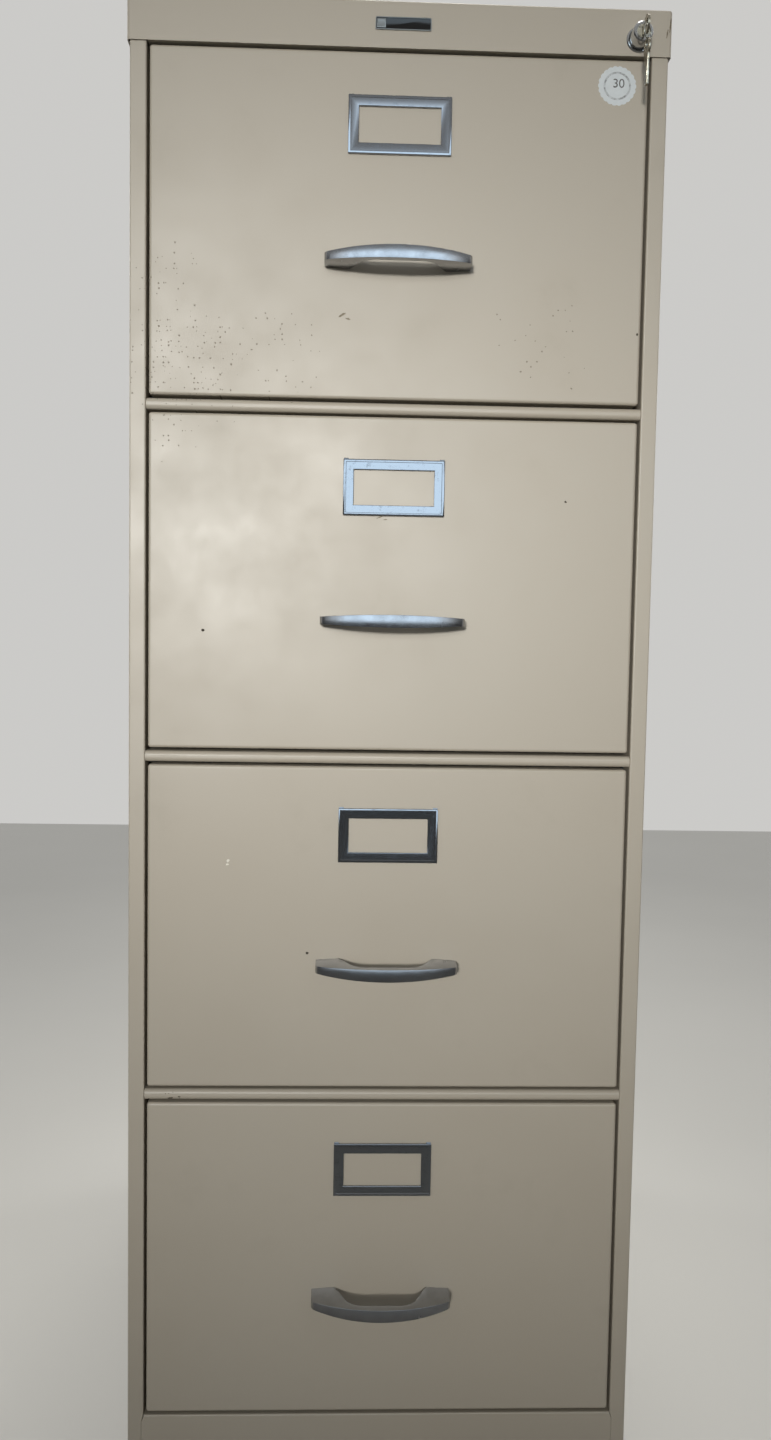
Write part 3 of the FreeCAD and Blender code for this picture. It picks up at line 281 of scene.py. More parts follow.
def makeEnamel():
    # Baked putty enamel on sheet steel: a semi-gloss coat with a fine orange peel, a little hand grime, and
    # small chips down to the primer that read as dark flecks.
    material, tree, shader, place = startMaterial("baked putty enamel", IOR=1.5)
    cloud = addNode(tree, "TexNoise", Vector=place, Scale=cell(312.5), Detail=2.0, Roughness=0.5)
    colour = addNode(tree, "Mix", {"data_type": "RGBA"}, i0=cloud.outputs["Fac"],
                     i6=hexColour(enamel["putty"]), i7=hexColour(enamel["warm"])).outputs[2]
    rubbed = addNode(tree, "TexNoise", Vector=place, Scale=cell(71.4), Detail=5.0, Roughness=0.62)
    smudge = addNode(tree, "MapRange", {"interpolation_type": "SMOOTHSTEP"}, Value=rubbed.outputs["Fac"],
                     i1=0.56, i2=0.82, i3=0.0, i4=0.10)
    colour = addNode(tree, "Mix", {"data_type": "RGBA"}, i0=smudge.outputs["Result"], i6=colour,
                     i7=hexColour(enamel["grime"])).outputs[2]

    # flecks: small cells, kept only inside the soft patches and broken up by noise
    patches = None
    for x, z, radius, share in enamel["flecked"]:
        away = addNode(tree, "VectorMath", {"operation": "DISTANCE"}, i0=place,
                       i1=(x * mm, frontPlane, z * mm))
        patch = addNode(tree, "MapRange", {"interpolation_type": "SMOOTHSTEP"}, Value=away.outputs["Value"],
                        i1=radius * mm, i2=radius * mm * 0.2, i3=0.0, i4=share)
        if patches is None:
            patches = patch.outputs["Result"]
        else:
            patches = addNode(tree, "Math", {"operation": "MAXIMUM"}, i0=patches,
                              i1=patch.outputs["Result"]).outputs[0]
    tear = enamel["tear"] * mm
    wobble = addNode(tree, "TexNoise", Vector=place, Scale=cell(1.316), Detail=2.0)
    torn = addNode(tree, "VectorMath", {"operation": "SCALE"}, i0=wobble.outputs["Color"], Scale=tear)
    jagged = addNode(tree, "VectorMath", {"operation": "ADD"}, i0=place, i1=torn.outputs["Vector"])
    spread = addNode(tree, "SeparateXYZ", Vector=jagged.outputs["Vector"])
    flat = addNode(tree, "CombineXYZ", X=spread.outputs["X"], Y=spread.outputs["Z"])
    cells = addNode(tree, "TexVoronoi", {"feature": "F1", "voronoi_dimensions": "2D"},
                    Vector=flat.outputs["Vector"], Scale=cell(enamel["spacing"]))
    pick = addNode(tree, "SeparateColor", Color=cells.outputs["Color"])
    size = addNode(tree, "MapRange", Value=pick.outputs[0], i1=0.0, i2=1.0, i3=0.07, i4=0.17)
    share = addNode(tree, "Math", {"operation": "MULTIPLY"}, i0=patches, i1=0.5)
    kept = addNode(tree, "Math", {"operation": "GREATER_THAN"}, i0=share.outputs[0], i1=pick.outputs[1])
    fleck = addNode(tree, "Math", {"operation": "LESS_THAN"}, i0=cells.outputs["Distance"],
                    i1=size.outputs["Result"])
    chipped = addNode(tree, "Math", {"operation": "MULTIPLY"}, i0=fleck.outputs[0],
                      i1=kept.outputs[0]).outputs[0]
    chipShare = addNode(tree, "Math", {"operation": "MULTIPLY"}, i0=chipped, i1=0.6).outputs[0]
    colour = addNode(tree, "Mix", {"data_type": "RGBA"}, i0=chipShare, i6=colour,
                     i7=hexColour(enamel["bare"])).outputs[2]
    middleOfTear = 0.5 * tear
    for x, z, long, wide, turn, shade in enamel["marks"]:
        local = addNode(tree, "Mapping", {"vector_type": "TEXTURE"}, Vector=jagged.outputs["Vector"],
                        Location=(x * mm + middleOfTear, frontPlane + middleOfTear, z * mm + middleOfTear),
                        Rotation=(0, -math.radians(turn), 0),
                        Scale=(long * mm, enamel["markDepth"] * mm, wide * mm))
        away = addNode(tree, "VectorMath", {"operation": "LENGTH"}, i0=local.outputs["Vector"])
        mark = addNode(tree, "Math", {"operation": "LESS_THAN"}, i0=away.outputs["Value"], i1=1.0)
        colour = addNode(tree, "Mix", {"data_type": "RGBA"}, i0=mark.outputs[0], i6=colour,
                         i7=hexColour(shade)).outputs[2]
        chipped = addNode(tree, "Math", {"operation": "MAXIMUM"}, i0=chipped, i1=mark.outputs[0]).outputs[0]
    tree.links.new(colour, shader.inputs["Base Color"])

    gloss = addNode(tree, "MapRange", Value=rubbed.outputs["Fac"], i1=0.3, i2=0.75, i3=0.36, i4=0.50)
    dull = addNode(tree, "Mix", {"data_type": "FLOAT"}, i0=chipped, i2=gloss.outputs["Result"], i3=0.8)
    tree.links.new(dull.outputs[0], shader.inputs["Roughness"])
    peel = addNode(tree, "TexNoise", Vector=place, Scale=cell(enamel["peel"]), Detail=1.5)
    peelBump = addNode(tree, "Bump", Height=peel.outputs["Fac"], Strength=0.05, Distance=0.25 * mm)
    pit = addNode(tree, "Math", {"operation": "SUBTRACT"}, i0=1.0, i1=chipped)
    pitBump = addNode(tree, "Bump", Height=pit.outputs[0], Strength=0.6, Distance=0.15 * mm,
                      Normal=peelBump.outputs["Normal"])
    tree.links.new(pitBump.outputs["Normal"], shader.inputs["Normal"])
    return material


def makeFollowerEnamel():
    # Grey hammered enamel of the follower blocks: darker than the case, with shallow dimples 6 mm apart.
    material, tree, shader, place = startMaterial("grey follower enamel", IOR=1.5)
    dimple = addNode(tree, "TexVoronoi", {"feature": "SMOOTH_F1"}, Vector=place, Scale=cell(6))
    mottle(tree, shader, dimple.outputs["Distance"], ("7B7A76", "6C6B68"), (0.38, 0.55), (0.0, 1.0))
    bump = addNode(tree, "Bump", Height=dimple.outputs["Distance"], Strength=0.2, Distance=0.2 * mm)
    tree.links.new(bump.outputs["Normal"], shader.inputs["Normal"])
    return material


def makeGalvanised():
    # Galvanised sheet: large frozen spangles that catch the light at different angles.
    material, tree, shader, place = startMaterial("galvanised sheet", Metallic=1.0)
    spangle = addNode(tree, "TexVoronoi", {"feature": "F1"}, Vector=place, Scale=cell(14))
    tone = addNode(tree, "SeparateColor", Color=spangle.outputs["Color"])
    colour = addNode(tree, "Mix", {"data_type": "RGBA"}, i0=tone.outputs[0], i6=hexColour("A7ABAD"),
                     i7=hexColour("BBBEBF"))
    tree.links.new(colour.outputs[2], shader.inputs["Base Color"])
    rough = addNode(tree, "MapRange", Value=tone.outputs[1], i1=0.0, i2=1.0, i3=0.34, i4=0.5)
    tree.links.new(rough.outputs["Result"], shader.inputs["Roughness"])
    return material


def makeZinc():
    # Bright zinc plate on the rolled channels: a cool sheen with rolling lines along the run (Y).
    material, tree, shader, place = startMaterial("zinc plated channel", Metallic=1.0)
    along = addNode(tree, "Mapping", Vector=place, Scale=(cell(1.111), cell(167), cell(1.111)))
    lines = addNode(tree, "TexNoise", Vector=along.outputs["Vector"], Scale=1.0, Detail=2.0)
    stain = addNode(tree, "TexNoise", Vector=place, Scale=cell(55.6), Detail=3.0)
    mottle(tree, shader, stain.outputs["Fac"], ("C0C2C0", "A9A79C"), (0.28, 0.46))
    bump = addNode(tree, "Bump", Height=lines.outputs["Fac"], Strength=0.12, Distance=0.05 * mm)
    tree.links.new(bump.outputs["Normal"], shader.inputs["Normal"])
    return material


def makeRollerSteel():
    # Pressed steel rollers, dull grey with a film of old grease.
    material, tree, shader, place = startMaterial("greased roller steel", Metallic=1.0)
    grease = addNode(tree, "TexNoise", Vector=place, Scale=cell(7.14), Detail=4.0)
    mottle(tree, shader, grease.outputs["Fac"], ("8F8E8A", "5F5B52"), (0.25, 0.5), (0.35, 0.65))
    return material


def makePullMetal():
    # Chrome plate over a satin casting: a soft mirror with faint polishing lines along the pull and dulled,
    # fingered patches.
    material, tree, shader, place = startMaterial("satin chrome pull", Metallic=1.0)
    along = addNode(tree, "Mapping", Vector=place, Scale=(cell(33.3), cell(0.625), cell(0.625)))
    lines = addNode(tree, "TexNoise", Vector=along.outputs["Vector"], Scale=1.0, Detail=3.0)
    touched = addNode(tree, "TexNoise", Vector=place, Scale=cell(14.3), Detail=5.0, Roughness=0.6)
    mottle(tree, shader, touched.outputs["Fac"], ("B0B3B8", "929396"), (0.18, 0.28), (0.35, 0.7))
    bump = addNode(tree, "Bump", Height=lines.outputs["Fac"], Strength=0.05, Distance=0.03 * mm)
    tree.links.new(bump.outputs["Normal"], shader.inputs["Normal"])
    return material


def makeFrameMetal():
    # Nickel plated stamping of the label frames: cool and bright, with tarnish that shows as dark mottling.
    material, tree, shader, place = startMaterial("tarnished nickel frame", Metallic=1.0)
    tarnish = addNode(tree, "TexNoise", Vector=place, Scale=cell(4.35), Detail=6.0, Roughness=0.7)
    worn = addNode(tree, "MapRange", {"interpolation_type": "SMOOTHSTEP"}, Value=tarnish.outputs["Fac"],
                   i1=0.52, i2=0.72, i3=0.0, i4=0.34)
    mottle(tree, shader, worn.outputs["Result"], ("9A9EA4", "626366"), (0.14, 0.22), (0.0, 0.34))
    bump = addNode(tree, "Bump", Height=tarnish.outputs["Fac"], Strength=0.03, Distance=0.03 * mm)
    tree.links.new(bump.outputs["Normal"], shader.inputs["Normal"])
    return material


lockFace = Vector((0.196, -0.336, 1.301))         # middle of the collar, centre of the key's scratches


def makeChrome():
    # Bright chrome of the lock: a near mirror with hairline scratches from keys.
    material, tree, shader, place = startMaterial("bright chrome lock", Metallic=1.0)
    fromLock = addNode(tree, "Mapping", Vector=place, Location=tuple(-lockFace))
    # a ring every 0.35 mm
    scratch = addNode(tree, "TexWave", {"wave_type": "RINGS", "rings_direction": "SPHERICAL"},
                      Vector=fromLock.outputs["Vector"], Scale=900.0, Distortion=6.0, Detail=3.0)
    haze = addNode(tree, "TexNoise", Vector=place, Scale=cell(3.33), Detail=3.0)
    mottle(tree, shader, haze.outputs["Fac"], ("CFD0D1", "ABABA9"), (0.07, 0.2))
    bump = addNode(tree, "Bump", Height=scratch.outputs["Fac"], Strength=0.05, Distance=0.03 * mm)
    tree.links.new(bump.outputs["Normal"], shader.inputs["Normal"])
    return material


def makeBrass():
    # Nickel plate over the turned brass of the lock's plug: grey, warmed where the key has dragged it thin.
    material, tree, shader, place = startMaterial("worn nickel plated brass", Metallic=1.0)
    drag = addNode(tree, "TexNoise", Vector=place, Scale=cell(2.38), Detail=4.0)
    mottle(tree, shader, drag.outputs["Fac"], ("B5B0A2", "857F6F"), (0.22, 0.45))
    return material


def makeKeyMetal():
    # Nickel silver of the keys: warm grey, its high places rubbed bright in the pocket.
    material, tree, shader, place = startMaterial("rubbed nickel silver key", Metallic=1.0)
    rub = addNode(tree, "TexNoise", Vector=place, Scale=cell(3.85), Detail=4.0)
    mottle(tree, shader, rub.outputs["Fac"], ("BDB7A8", "7E7868"), (0.2, 0.42))
    bump = addNode(tree, "Bump", Height=rub.outputs["Fac"], Strength=0.15, Distance=0.05 * mm)
    tree.links.new(bump.outputs["Normal"], shader.inputs["Normal"])
    return material


def makeScrewSteel():
    # Zinc plate on the screws and the ring: a pale sheen broken up by a fine grain.
    material, tree, shader, place = startMaterial("zinc plated screw", Metallic=1.0)
    grain = addNode(tree, "TexNoise", Vector=place, Scale=cell(1.111), Detail=2.0)
    mottle(tree, shader, grain.outputs["Fac"], ("B9BAB5", "97968C"), (0.28, 0.42))
    return material


def makeBadgeMetal():
    # Satin metal rim of the badge, brushed lengthwise, round its black enamel field.
    material, tree, shader, place = startMaterial("satin badge rim", Metallic=1.0)
    along = addNode(tree, "Mapping", Vector=place, Scale=(cell(16.7), cell(1.111), cell(0.417)))
    grain = addNode(tree, "TexNoise", Vector=along.outputs["Vector"], Scale=1.0, Detail=2.0)
    mottle(tree, shader, grain.outputs["Fac"], ("A9A9A6", "7D7C78"), (0.3, 0.45))
    return material


def makeNylon():
    # Black nylon of the glides, scuffed grey by the floor.
    material, tree, shader, place = startMaterial("scuffed black nylon", IOR=1.53)
    scuff = addNode(tree, "TexNoise", Vector=place, Scale=cell(6.25), Detail=5.0, Roughness=0.7)
    mottle(tree, shader, scuff.outputs["Fac"], ("1C1C1B", "3B3A38"), (0.45, 0.75))
    return material


puttyEnamel = makeEnamel()
followerEnamel = makeFollowerEnamel()
galvanisedSheet = makeGalvanised()
zincChannel = makeZinc()
rollerSteel = makeRollerSteel()
pullMetal = makePullMetal()
frameMetal = makeFrameMetal()
chromeLock = makeChrome()
brassPlug = makeBrass()
keyMetal = makeKeyMetal()
screwSteel = makeScrewSteel()
badgeMetal = makeBadgeMetal()
blackNylon = makeNylon()

finishes = {
    "putty_enamel": puttyEnamel, "follower_enamel": followerEnamel, "galvanised_steel": galvanisedSheet,
    "zinc_channel": zincChannel, "roller_steel": rollerSteel, "screw_steel": screwSteel,
    "chrome_lock": chromeLock, "brass_plug": brassPlug, "nickel_key": keyMetal, "ring_wire": screwSteel,
    "aluminium_pull": pullMetal, "aluminium_frame": frameMetal, "badge_metal": badgeMetal,
    "glide_nylon": blackNylon,
}
for part in frame["record"]["subparts"]:
    for slot in nodes[part["node"]].material_slots:
        slot.material = finishes[part["material_slot"]]


# Pieces

def choose(piece, kind, test):
    bpy.ops.mesh.select_mode(type=kind)
    bpy.ops.mesh.select_all(action="DESELECT")
    mesh = bmesh.from_edit_mesh(piece.data)
    for item in {"VERT": mesh.verts, "EDGE": mesh.edges, "FACE": mesh.faces}[kind]:
        if test(item):
            item.select_set(True)
    mesh.select_flush_mode()
    bmesh.update_edit_mesh(piece.data)


def edgeMiddle(edge):
    return (edge.verts[0].co + edge.verts[1].co) / 2


def addModifier(piece, kind, **settings):
    bpy.ops.object.mode_set(mode="OBJECT")
    modifier = piece.modifiers.new(kind.lower(), kind)
    for name, value in settings.items():
        setattr(modifier, name, value)
    bpy.ops.object.modifier_apply(modifier=modifier.name)


def makeActive(piece):
    deselect()
    piece.select_set(True)
    bpy.context.view_layer.objects.active = piece


def settle(piece, name, body, place=(0, 0, 0), materials=()):
    makeActive(piece)
    piece.name = name
    piece.data.name = name
    piece.location = place
    bpy.ops.object.transform_apply(location=True, rotation=True, scale=True)
    for material in materials:
        piece.data.materials.append(material)
    bpy.ops.object.shade_smooth_by_angle(angle=smoothAngle)
    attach(piece, body)


def copyPiece(piece):
    makeActive(piece)
    bpy.ops.object.duplicate()
    return bpy.context.object


print("pulls")

pull = {
    "half": 62.5, "reach": 42.0, "end": 22.5,       # mm: half width, depth at the middle and at the ends
    "bar": 8.6, "pad": 21.0,                        # bar from front to back, and each foot's width
    "flat": 27.0, "arch": 18.0,                     # half length of the bar's back, radius up to the feet
    "high": 5.5, "endHigh": 3.25,                   # half height at the middle and at the ends
    "corner": 3.6, "edge": 0.55,                    # rounding of the outer ends and of every edge
}


def makePulls():
    half, reach, end = pull["half"], pull["reach"], pull["end"]
    bow = (half ** 2 + (reach - end) ** 2) / (2 * (reach - end))
    rear = pull["bar"] - reach
    foot = half - pull["pad"]
    lean = math.atan2(-rear, foot - pull["flat"])
    tangent = pull["arch"] * math.tan(lean / 2)
    plan = [(half * i / 12, bow - reach - math.sqrt(bow ** 2 - (half * i / 12) ** 2)) for i in range(13)]
    plan += [(half, 0), (foot, 0)]
    for i in range(9):
        angle = lean * (1 - i / 8)
        plan.append((pull["flat"] - tangent + pull["arch"] * math.sin(angle),
                     rear + pull["arch"] * (1 - math.cos(angle))))
    plan.append((0, rear))

    deselect()
    bpy.ops.mesh.primitive_plane_add(size=mm)
    piece = bpy.context.object
    bpy.ops.object.mode_set(mode="EDIT")
    bpy.ops.mesh.select_all(action="SELECT")
    bpy.ops.mesh.merge(type="CENTER")               # one point, drawn out along half the plan
    bpy.ops.transform.translate(value=(0, plan[0][1] * mm, 0))
    for (x0, y0), (x1, y1) in zip(plan, plan[1:]):
        bpy.ops.mesh.extrude_region_move(
            TRANSFORM_OT_translate={"value": ((x1 - x0) * mm, (y1 - y0) * mm, 0)})
    bpy.ops.mesh.select_all(action="SELECT")
    bpy.ops.mesh.edge_face_add()
    bpy.ops.mesh.extrude_region_move(TRANSFORM_OT_translate={"value": (0, 0, 2 * pull["high"] * mm)})
    bpy.ops.mesh.select_all(action="SELECT")
    bpy.ops.transform.translate(value=(0, 0, -pull["high"] * mm))
    choose(piece, "FACE", lambda face: all(abs(v.co.x) < hair for v in face.verts))
    bpy.ops.mesh.delete(type="FACE")
    choose(piece, "EDGE", lambda edge: abs(edgeMiddle(edge).x - half * mm) < hair
           and abs(edgeMiddle(edge).y + end * mm) < hair)
    bpy.ops.mesh.bevel(offset=pull["corner"] * mm, segments=4)
    # places of the columns of points, in mm to two decimals
    columns = sorted({round(v.co.x / mm, 2) for v in bmesh.from_edit_mesh(piece.data).verts})
    for x in columns[1:-1]:                         # a cut at every column, so that each strip stays flat
        bpy.ops.mesh.select_all(action="SELECT")
        bpy.ops.mesh.bisect(plane_co=(x * mm, 0, 0), plane_no=(1, 0, 0), threshold=hair)
    for x in columns:
        high = pull["high"] - (pull["high"] - pull["endHigh"]) * (x / half) ** 2
        choose(piece, "VERT", lambda v: abs(v.co.x / mm - x) < 0.011)
        bpy.ops.transform.resize(value=(1, 1, high / pull["high"]), center_override=(0, 0, 0))
    addModifier(piece, "MIRROR", use_clip=True, merge_threshold=hair)
    bpy.ops.object.mode_set(mode="EDIT")
    bpy.ops.mesh.select_all(action="SELECT")
    bpy.ops.mesh.remove_doubles(threshold=weld)
    bpy.ops.mesh.normals_make_consistent(inside=False)
    addModifier(piece, "BEVEL", width=pull["edge"] * mm, segments=3, limit_method="ANGLE",
                angle_limit=math.radians(38))
    for number in drawers:
        copy = piece if number == drawers[-1] else copyPiece(piece)
        place = (0, frontPlane, middle("handle_%d" % number).z)
        settle(copy, "pull_%d" % number, "drawer_%d" % number, place, [pullMetal])
        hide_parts("handle_%d" % number)


makePulls()


print("label frames")

cardFrame = {
    "width": 88.0, "height": 48.3, "depth": 3.2,
    "rim": 2.2, "step": 0.35, "band": 9.0,          # mm: raised rim, its height, and the whole border
    "bevel": 0.5,                                   # rounding of the sharp edges
    "ear": (4.2, 1.4, 0.9),                         # tab at each upper corner: width, depth, height
    "earInset": 0.4, "earBevel": 0.3,               # from the frame's side, and rounding of its edges
}


def makeFrames():
    width, height, depth = [cardFrame[k] * mm for k in ("width", "height", "depth")]
    band, rim = cardFrame["band"] * mm, cardFrame["rim"] * mm
    deselect()
    bpy.ops.mesh.primitive_cube_add(size=1, scale=(width, depth, height))
    piece = bpy.context.object
    bpy.ops.object.transform_apply(location=False, rotation=False, scale=True)
    bpy.ops.object.mode_set(mode="EDIT")
    choose(piece, "FACE", lambda face: face.normal.y < -0.9)
    bpy.ops.mesh.inset(thickness=rim, depth=0)
    bpy.ops.mesh.inset(thickness=cardFrame["step"] * mm, depth=-cardFrame["step"] * mm)
    bpy.ops.mesh.inset(thickness=band - rim - cardFrame["step"] * mm, depth=0)
    choose(piece, "FACE", lambda face: face.normal.y > 0.9)
    bpy.ops.mesh.inset(thickness=band, depth=0)
    choose(piece, "FACE", lambda face: abs(face.normal.y) > 0.9 and face.calc_area() > 0.4 * width * height
           and face.calc_center_median().xz.length < 0.001)
    bpy.ops.mesh.bridge_edge_loops()
    bpy.ops.mesh.select_all(action="SELECT")
    bpy.ops.mesh.normals_make_consistent(inside=False)
    addModifier(piece, "BEVEL", width=cardFrame["bevel"] * mm, segments=3, limit_method="ANGLE",
                angle_limit=math.radians(60))
    ears = []
    earWidth, earDepth, earHeight = [length * mm for length in cardFrame["ear"]]
    earPlace = width / 2 - earWidth / 2 - cardFrame["earInset"] * mm
    for side in (-1, 1):
        deselect()
        bpy.ops.mesh.primitive_cube_add(size=1, scale=(earWidth, earDepth, earHeight * 2),
                                        location=(side * earPlace, depth * 0.2, height / 2))
        bpy.ops.object.transform_apply(location=True, rotation=False, scale=True)
        ear = bpy.context.object
        addModifier(ear, "BEVEL", width=cardFrame["earBevel"] * mm, segments=2)
        ears.append(ear)
    makeActive(piece)
    for ear in ears:
        ear.select_set(True)
    bpy.ops.object.join()
    for number in drawers:
        copy = piece if number == drawers[-1] else copyPiece(piece)
        place = (0, frontPlane - depth / 2, middle("label_holder_%d" % number).z)
        settle(copy, "card_frame_%d" % number, "drawer_%d" % number, place, [frameMetal])
        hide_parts("label_holder_%d" % number)


makeFrames()


print("badge")

badge = {
    "rim": 0.8, "sink": 0.5, "corner": 1.2, "edge": 0.18,        # mm: rim, depth of the field, roundings
    "square": 7.4, "squareGap": 0.5, "squareRim": 1.1, "squareDish": 0.15, "squareEdge": 0.12,
    "squareLevel": 0.7,                                          # its middle below the rim, in sinks
    "field": "121214", "dust": "222223",
}


def makeBlackField():
    # Black enamel filled in round the badge's raised rim: glossy, with a few dulled specks.
    material, tree, shader, place = startMaterial("black badge enamel", IOR=1.5)
    dust = addNode(tree, "TexNoise", Vector=place, Scale=cell(1.111), Detail=3.0)
    mottle(tree, shader, dust.outputs["Fac"], (badge["field"], badge["dust"]), (0.10, 0.18))
    return material


def makeBadge():
    low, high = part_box("badge_plate")
    size = high - low
    deselect()
    bpy.ops.mesh.primitive_cube_add(size=1, scale=size)
    plate = bpy.context.object
    bpy.ops.object.transform_apply(location=False, rotation=False, scale=True)
    bpy.ops.object.mode_set(mode="EDIT")
    choose(plate, "EDGE", lambda edge: abs(edge.verts[0].co.y - edge.verts[1].co.y) > size.y / 2)
    bpy.ops.mesh.bevel(offset=badge["corner"] * mm, segments=4)
    choose(plate, "FACE", lambda face: face.normal.y < -0.9)
    bpy.ops.mesh.inset(thickness=badge["rim"] * mm, depth=0)
    bpy.ops.mesh.extrude_region_move(TRANSFORM_OT_translate={"value": (0, badge["sink"] * mm, 0)})
    plate.data.materials.append(badgeMetal)
    plate.data.materials.append(makeBlackField())
    plate.active_material_index = 1
    bpy.ops.object.material_slot_assign()
    crease = {"segments": 2, "limit_method": "ANGLE", "angle_limit": math.radians(50)}
    addModifier(plate, "BEVEL", width=badge["edge"] * mm, **crease)
    # the raised square at the left of the field
    deselect()
    side, sink = badge["square"] * mm, badge["sink"] * mm
    across = (badge["rim"] + badge["squareGap"]) * mm + (side - size.x) / 2
    bpy.ops.mesh.primitive_cube_add(size=1, scale=(side, sink, side),
                                    location=(across, badge["squareLevel"] * sink - size.y / 2, 0))
    square = bpy.context.object
    bpy.ops.object.transform_apply(location=True, rotation=False, scale=True)
    bpy.ops.object.mode_set(mode="EDIT")
    choose(square, "FACE", lambda face: face.normal.y < -0.9)
    bpy.ops.mesh.inset(thickness=badge["squareRim"] * mm, depth=-badge["squareDish"] * mm)
    square.data.materials.append(badgeMetal)
    addModifier(square, "BEVEL", width=badge["squareEdge"] * mm, **crease)
    makeActive(plate)
    square.select_set(True)
    bpy.ops.object.join()
    settle(plate, "badge", "case", middle("badge_plate"))
    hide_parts("badge_plate")


makeBadge()


print("sticker")

sticker = {
    "x": 185.2, "z": 1257.6, "radius": 16.4, "thick": 0.12,      # mm
    "scallops": 22, "dips": (0.955, 0.98, 1, 1, 1, 0.98),        # share of the radius, round one scallop
    "ring": 10.9, "line": 0.8,                       # mm: radius of the printed ring, half its width
    "number": "30", "size": 10.5, "shift": (1.2, 1.8),           # mm: height, place off the centre
    "inkHalf": 0.04, "lift": 0.03,                   # half its thickness, its middle above the paper
    "paper": "E3EAEE", "rubbed": "CFD6DA", "ink": "3A3A3C", "inkFaded": "6E6D6B",
}
centre = Vector((sticker["x"] * mm, frontPlane, sticker["z"] * mm))


def makePaper():
    # Uncoated paper: matt, cool white, rubbed grey in places, with one printed ring.
    paper, tree, shader, place = startMaterial("rubbed white paper", Roughness=0.8)
    rub = addNode(tree, "TexNoise", Vector=place, Scale=cell(4.17), Detail=5.0, Roughness=0.65)
    colour = addNode(tree, "Mix", {"data_type": "RGBA"}, i0=rub.outputs["Fac"],
                     i6=hexColour(sticker["paper"]), i7=hexColour(sticker["rubbed"])).outputs[2]
    away = addNode(tree, "VectorMath", {"operation": "DISTANCE"}, i0=place, i1=tuple(centre))
    ring = addNode(tree, "Math", {"operation": "COMPARE"}, i0=away.outputs["Value"],
                   i1=sticker["ring"] * mm, i2=sticker["line"] * mm)
    worn = addNode(tree, "MapRange", Value=rub.outputs["Fac"], i1=0.35, i2=0.6, i3=0.75, i4=0.1)
    printed = addNode(tree, "Math", {"operation": "MULTIPLY"}, i0=ring.outputs[0], i1=worn.outputs["Result"])
    colour = addNode(tree, "Mix", {"data_type": "RGBA"}, i0=printed.outputs[0], i6=colour,
                     i7=hexColour(sticker["ink"])).outputs[2]
    tree.links.new(colour, shader.inputs["Base Color"])
    fibre = addNode(tree, "Bump", Height=rub.outputs["Fac"], Strength=0.15, Distance=0.1 * mm)
    tree.links.new(fibre.outputs["Normal"], shader.inputs["Normal"])
    return paper


def makeInk():
    # Black printing ink of the number, faded grey in small spots.
    ink, tree, shader, place = startMaterial("rubbed black ink", Roughness=0.6)
    fade = addNode(tree, "TexNoise", Vector=place, Scale=cell(2), Detail=3.0)
    colour = addNode(tree, "Mix", {"data_type": "RGBA"}, i0=fade.outputs["Fac"],
                     i6=hexColour(sticker["ink"]), i7=hexColour(sticker["inkFaded"]))
    tree.links.new(colour.outputs[2], shader.inputs["Base Color"])
    return ink


def makeSticker():
    deselect()
    count = sticker["scallops"] * len(sticker["dips"])
    bpy.ops.mesh.primitive_circle_add(vertices=count, radius=sticker["radius"] * mm, fill_type="NGON",
                                      rotation=(math.pi / 2, 0, 0))
    disc = bpy.context.object
    bpy.ops.object.transform_apply(location=False, rotation=True, scale=False)
    bpy.ops.object.mode_set(mode="EDIT")
    for step, share in enumerate(sticker["dips"]):
        if share < 1:
            choose(disc, "VERT", lambda v: v.index % len(sticker["dips"]) == step)
            bpy.ops.transform.resize(value=(share, 1, share), center_override=(0, 0, 0))
    bpy.ops.mesh.select_all(action="SELECT")
    bpy.ops.mesh.extrude_region_move(TRANSFORM_OT_translate={"value": (0, -sticker["thick"] * mm, 0)})
    bpy.ops.mesh.select_all(action="SELECT")
    bpy.ops.mesh.normals_make_consistent(inside=False)
    deselect()
    settle(disc, "sticker", "drawer_1", place=centre, materials=[makePaper()])


def makeNumber():
    deselect()
    bpy.ops.object.text_add(rotation=(math.pi / 2, 0, 0))
    figures = bpy.context.object
    figures.data.body = sticker["number"]
    figures.data.size = sticker["size"] * mm
    figures.data.extrude = sticker["inkHalf"] * mm
    figures.data.align_x = "CENTER"
    figures.data.align_y = "CENTER"
    bpy.ops.object.convert(target="MESH")
    bpy.ops.object.mode_set(mode="EDIT")
    bpy.ops.mesh.select_all(action="SELECT")
    bpy.ops.mesh.remove_doubles(threshold=weld)
    bpy.ops.mesh.normals_make_consistent(inside=False)
    bpy.ops.object.mode_set(mode="OBJECT")
    across, up = sticker["shift"]
    place = centre + Vector((across, -sticker["thick"] - sticker["lift"], up)) * mm
    settle(figures, "sticker_number", "drawer_1", place=place, materials=[makeInk()])


makeSticker()
makeNumber()


print("key ring and spare key")

splitRing = {"radius": 6.0, "wire": 0.5, "turn": 50.0}          # mm, and degrees from the front view
spareKey = {
    "turn": 4.0,                     # degrees off edge-on
    "hole": 3.5, "inset": 4.5,       # mm: radius of the hole in the bow, its centre from the bow's end
    "ringWire": 0.6,                 # mm: radius of the wire in the CAD ring, whose place is kept
    "edge": 0.15,                    # rounding of the sharp edges
}


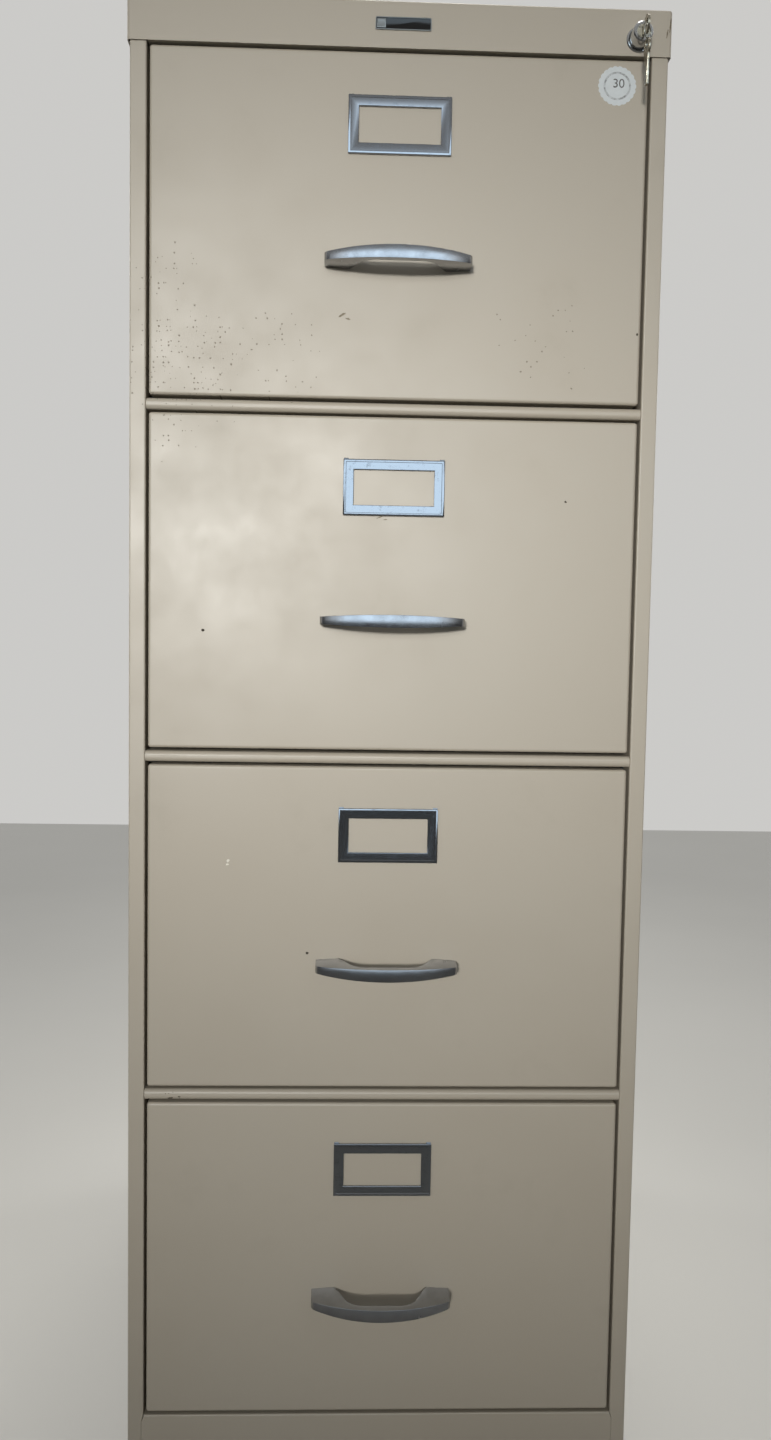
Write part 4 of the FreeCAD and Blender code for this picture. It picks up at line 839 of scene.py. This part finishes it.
def makeRing():
    deselect()
    bpy.ops.mesh.primitive_circle_add(vertices=10, radius=splitRing["wire"] * mm,
                                      rotation=(math.pi / 2, 0, 0),
                                      location=(splitRing["radius"] * mm, 0, 0))
    ring = bpy.context.object
    bpy.ops.object.transform_apply(location=True, rotation=True, scale=False)
    bpy.ops.object.mode_set(mode="EDIT")
    bpy.ops.mesh.select_all(action="SELECT")
    bpy.ops.mesh.spin(steps=44, angle=2 * math.pi, center=(0, 0, 0), axis=(0, 0, 1))
    bpy.ops.mesh.select_all(action="SELECT")
    bpy.ops.mesh.remove_doubles(threshold=weld)
    bpy.ops.mesh.normals_make_consistent(inside=False)
    bpy.ops.object.mode_set(mode="OBJECT")
    ring.rotation_euler = (math.pi / 2, 0, math.radians(splitRing["turn"]))
    settle(ring, "split_ring", "ring", middle("key_ring"), [screwSteel])
    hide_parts("key_ring")


def makeSpareKey():
    key = nodes["lock_key"]
    low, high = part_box("lock_key")
    hole = Vector(((low.x + high.x) / 2, low.y + spareKey["inset"] * mm, (low.z + high.z) / 2))
    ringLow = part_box("key_ring")[0]
    spare = copyPiece(key)
    spare.parent = None
    spare.location = (0, 0, 0)
    for name in [name for name in spare.keys() if name.startswith("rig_")]:
        del spare[name]
    bpy.ops.object.mode_set(mode="EDIT")
    bpy.ops.mesh.select_all(action="SELECT")
    bpy.ops.mesh.remove_doubles(threshold=weld)
    bpy.ops.transform.translate(value=-hole)
    bpy.ops.object.mode_set(mode="OBJECT")
    spare.rotation_mode = "XYZ"
    spare.rotation_euler = (-math.pi / 2, 0, math.radians(spareKey["turn"]))
    hang = spareKey["ringWire"] + splitRing["wire"] - spareKey["hole"]
    place = Vector((hole.x, hole.y, ringLow.z + hang * mm))
    bpy.ops.object.transform_apply(location=False, rotation=True, scale=False)
    addModifier(spare, "BEVEL", width=spareKey["edge"] * mm, segments=2, limit_method="ANGLE",
                angle_limit=math.radians(50))
    settle(spare, "spare_key", "ring", place)


makeRing()
makeSpareKey()


print("light on the bright metal")


def keepOffMetal():
    # the pulls, frames and badge mirror the bright room alone, without a burnt-out image of the front lamps
    metal = bpy.data.collections.new("bright_metal")
    for piece in list(bpy.context.scene.objects):
        if piece.name.startswith(("pull_", "card_frame_")) or piece.name == "badge":
            metal.objects.link(piece)
    for name in ("key", "upper"):
        bpy.data.objects[name].light_linking.receiver_collection = metal
    for member in metal.collection_objects:
        member.light_linking.link_state = "EXCLUDE"


keepOffMetal()


print("finished")
